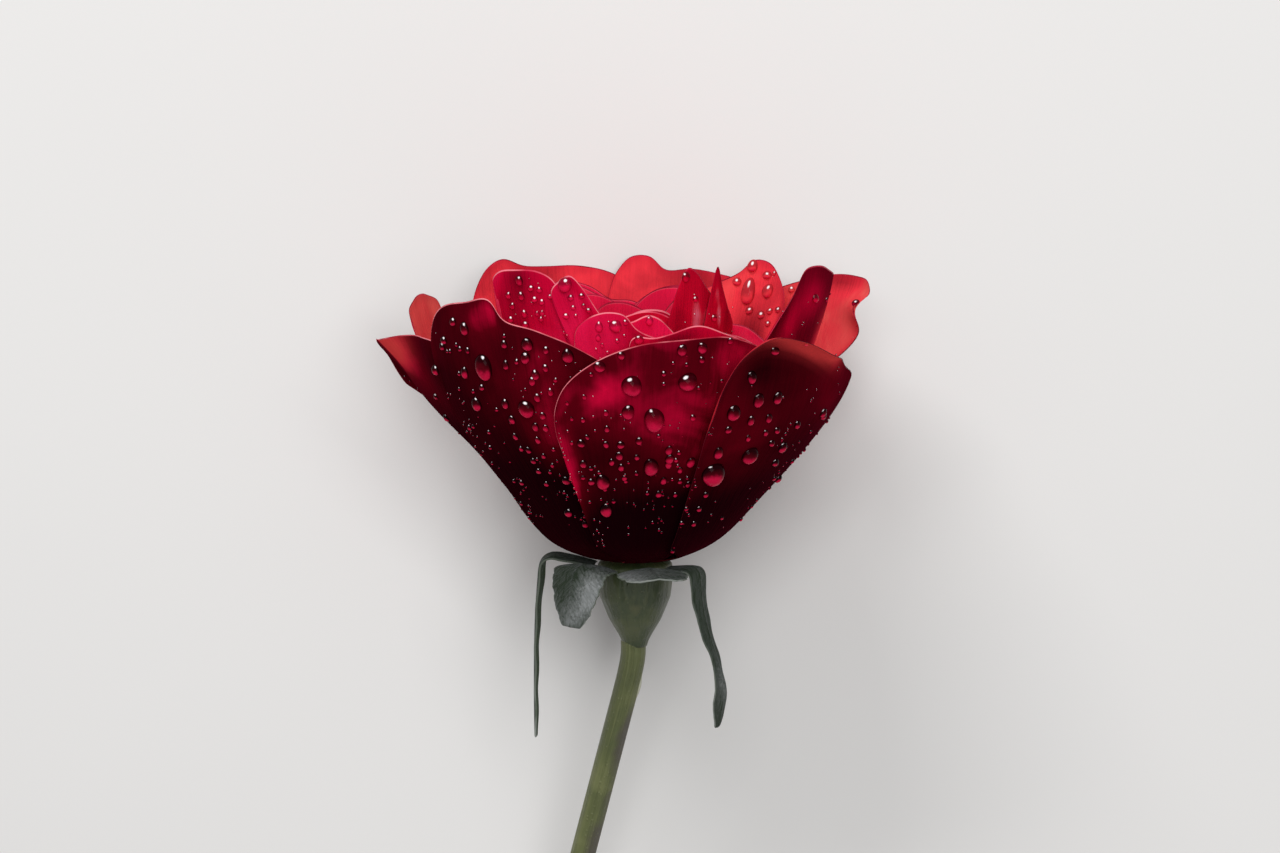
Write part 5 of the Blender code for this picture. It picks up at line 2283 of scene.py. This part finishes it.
@dataclass
class Centre:
    """The stamens on their disc, and the column of styles inside them."""

    filaments: int = 60
    styles: int = 9
    seed: int = 5

    def tube(self, bm: BMesh, line: Array, radii: Array, sides: int, material: int) -> None:
        """Adds a thin round body along a line.

        Args:
            bm: The mesh that it is added to.
            line: The line's points, in the flower's frame.
            radii: The body's radius at each point.
            sides: How many sides it has.
            material: The index of its material.
        """
        rows = []
        for place, before, after, radius in zip(line, np.roll(line, 1, 0), np.roll(line, -1, 0), radii):
            along = Vector(after - before) if 0 < len(rows) < len(line) - 1 else Vector(line[-1] - line[0])
            turn = np.array(Vector((0, 0, 1)).rotation_difference(along.normalized()).to_matrix())
            rows.append(add_ring(bm, place, turn[:, 0] * radius, turn[:, 1] * radius, sides))
        join_rings(bm, rows, material)

    def stamen(self, bm: BMesh, draw: random.Random) -> None:
        """One filament with its two-lobed anther.

        Args:
            bm: The mesh that it is added to.
            draw: Where its places are drawn from.
        """
        angle = draw.uniform(0, math.tau)
        around = np.array([math.cos(angle), math.sin(angle), 0.0])
        foot = around * draw.uniform(1.35, 1.8) + 2.9 * UP
        head = around * draw.uniform(1.9, 3.1) + draw.uniform(8.6, 11.2) * UP
        share = np.linspace(0, 1, 7)[:, None]
        line = foot + (head - foot) * share + around * 0.5 * np.sin(math.pi * share)
        self.tube(bm, line, np.linspace(0.11, 0.07, 7), 6, 1)
        across = np.cross(around, [0, 0, 1.0])
        for lobe in (-1, 1):
            middle = head + across * 0.16 * lobe
            bean = middle + UP * np.linspace(-0.45, 0.45, 6)[:, None]
            self.tube(bm, bean, 0.2 * np.sin(np.linspace(0.35, math.pi - 0.35, 6)), 7, 0)

    def build(self) -> None:
        """Builds the stamens and the styles."""
        draw = random.Random(self.seed)
        bm = bmesh.new()
        ring = np.array([[0.0, 0.0, 2.55], [0.0, 0.0, 3.25]])
        self.tube(bm, ring, np.array([1.95, 1.9]), 40, 1)
        for _ in range(self.filaments):
            self.stamen(bm, draw)
        gold = Pollen("anther_gold", (0.38, 0.16, 0.02), (0.72, 0.44, 0.08))
        thread = Pollen("filament_red", (0.45, 0.12, 0.05), (0.62, 0.3, 0.12), 1500.0)
        self.add("stamens", bm, [gold.material(), thread.material()], "stamen")
        bm = bmesh.new()
        for number in range(self.styles):
            angle = math.tau * number / self.styles
            around = np.array([math.cos(angle), math.sin(angle), 0.0])
            foot = around * 0.35 + 2.55 * UP
            head = around * (0.55 + 0.2 * draw.random()) + (9.3 + 0.7 * draw.random()) * UP
            share = np.linspace(0, 1, 6)[:, None]
            line = foot + (head - foot) * share
            self.tube(bm, line, np.array([0.2, 0.18, 0.16, 0.16, 0.2, 0.26]), 8, 0)
            knob = head + UP * np.linspace(-0.1, 0.5, 5)[:, None]
            self.tube(bm, knob, np.array([0.2, 0.34, 0.36, 0.26, 0.08]), 10, 1)
        column = Pollen("style_green", (0.24, 0.26, 0.06), (0.46, 0.44, 0.16), 1500.0)
        stigma = Pollen("stigma_pale", (0.42, 0.3, 0.1), (0.66, 0.56, 0.24))
        self.add("styles", bm, [column.material(), stigma.material()], "style")

    def add(self, node: str, bm: BMesh, materials: list[Material], slot: str) -> None:
        """Makes a piece that stands for a node.

        Args:
            node: The node.
            bm: The piece's mesh, which is freed.
            materials: Its materials.
            slot: Not used.
        """
        bmesh.ops.recalc_face_normals(bm, faces=bm.faces)
        mesh = bpy.data.meshes.new(node + "_mesh")
        bm.to_mesh(mesh)
        bm.free()
        piece = add_piece(node + "_skin", mesh, materials)
        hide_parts(node)
        report(piece, node)


# ---- Studio ----


@dataclass
class Studio:
    """The pale floor, the soft lamps, the world and the camera."""

    rise: float = math.radians(9.0)
    distance: float = 580.0
    aim: tuple[float, float, float] = (0.8, 0.0, 22.477)
    lens: float = 100.0
    floor_side: float = 8.0
    floor_gap: float = 0.0001
    world_level: float = 0.36
    white_level: float = 0.75
    lamp_aim: tuple[float, float, float] = (0.0, 0.05, 0.04)

    def build_floor(self) -> None:
        """A plain floor that the rose lies on."""
        mesh = bpy.data.meshes.new("floor")
        half = self.floor_side / 2
        corners = [(-half, -half, 0), (half, -half, 0), (half, half, 0), (-half, half, 0)]
        mesh.from_pydata(corners, [], [(0, 1, 2, 3)])
        floor = bpy.data.objects.new("floor", mesh)
        floor.location.z = CAD_BOX[0][2] - self.floor_gap
        bpy.context.scene.collection.objects.link(floor)
        mesh.materials.append(PaleFloor().material())

    def build_camera(self) -> None:
        """Looks down on the rose, from just above the bloom's rim."""
        look = Vector((0, math.cos(self.rise), -math.sin(self.rise)))
        above = Vector((0, math.sin(self.rise), math.cos(self.rise)))
        turn = LYING.turn().to_3x3()
        place = LYING.matrix() @ (Vector(self.aim) - look * self.distance)
        axes = [turn @ Vector((1, 0, 0)), turn @ above, turn @ -look]
        matrix = Matrix([(*row, 0.0) for row in zip(*axes)] + [(0, 0, 0, 1)])
        matrix.translation = place
        lens = bpy.data.cameras.new("camera")
        lens.lens = self.lens
        lens.sensor_width = 36.0
        lens.clip_start = 0.02
        lens.clip_end = 30.0
        camera = bpy.data.objects.new("camera", lens)
        camera.matrix_world = matrix
        bpy.context.scene.collection.objects.link(camera)
        bpy.context.scene.camera = camera

    def add_lamp(
        self, name: str, place: tuple[float, float, float], sides: tuple[float, float], power: float
    ) -> None:
        """Adds a soft box that faces the bloom.

        Args:
            name: Its name.
            place: Where it stands.
            sides: Its width and height, in metres.
            power: Its power, in watts.
        """
        lamp = bpy.data.lights.new(name, "AREA")
        lamp.shape = "RECTANGLE"
        lamp.size, lamp.size_y = sides
        lamp.energy = power
        thing = bpy.data.objects.new(name, lamp)
        thing.location = place
        towards = Vector(self.lamp_aim) - Vector(place)
        thing.rotation_euler = towards.to_track_quat("-Z", "Y").to_euler()
        bpy.context.scene.collection.objects.link(thing)

    def build_world(self) -> None:
        """An even pale world, white where it is seen straight, mirrored or through water."""
        world = bpy.data.worlds.new("studio")
        bpy.context.scene.world = world
        world.use_nodes = True
        tree = world.node_tree
        tree.nodes.clear()
        make, link = tree.nodes.new, tree.links.new
        path = make("ShaderNodeLightPath")
        seen, clear = make("ShaderNodeMath"), make("ShaderNodeMath")
        seen.operation = clear.operation = "MAXIMUM"
        link(path.outputs["Is Camera Ray"], seen.inputs[0])
        link(path.outputs["Is Glossy Ray"], seen.inputs[1])
        link(seen.outputs[0], clear.inputs[0])
        link(path.outputs["Is Transmission Ray"], clear.inputs[1])
        lit, white = make("ShaderNodeBackground"), make("ShaderNodeBackground")
        lit.inputs[1].default_value = self.world_level
        white.inputs[1].default_value = self.white_level
        both = make("ShaderNodeMixShader")
        for source, socket in zip((clear, lit, white), both.inputs):
            link(source.outputs[0], socket)
        link(both.outputs[0], make("ShaderNodeOutputWorld").inputs[0])

    def build(self) -> None:
        """Sets the studio up."""
        bpy.context.scene.view_settings.view_transform = "Standard"
        self.build_floor()
        self.build_camera()
        self.build_world()
        self.add_lamp("key", (-0.26, 0.72, 0.56), (0.46, 0.2), 3.2)
        self.add_lamp("fill", (0.12, 0.2, 0.82), (0.5, 0.4), 3.7)


def main() -> None:
    """Builds the rose and its studio."""
    Studio().build()
    bloom = Bloom()
    bloom.build()
    Dew(bloom, WET_PETALS).build()
    Calyx().build()
    Hypanthium().build()
    Stem().build()
    Centre().build()


if __name__ == "__main__":
    main()
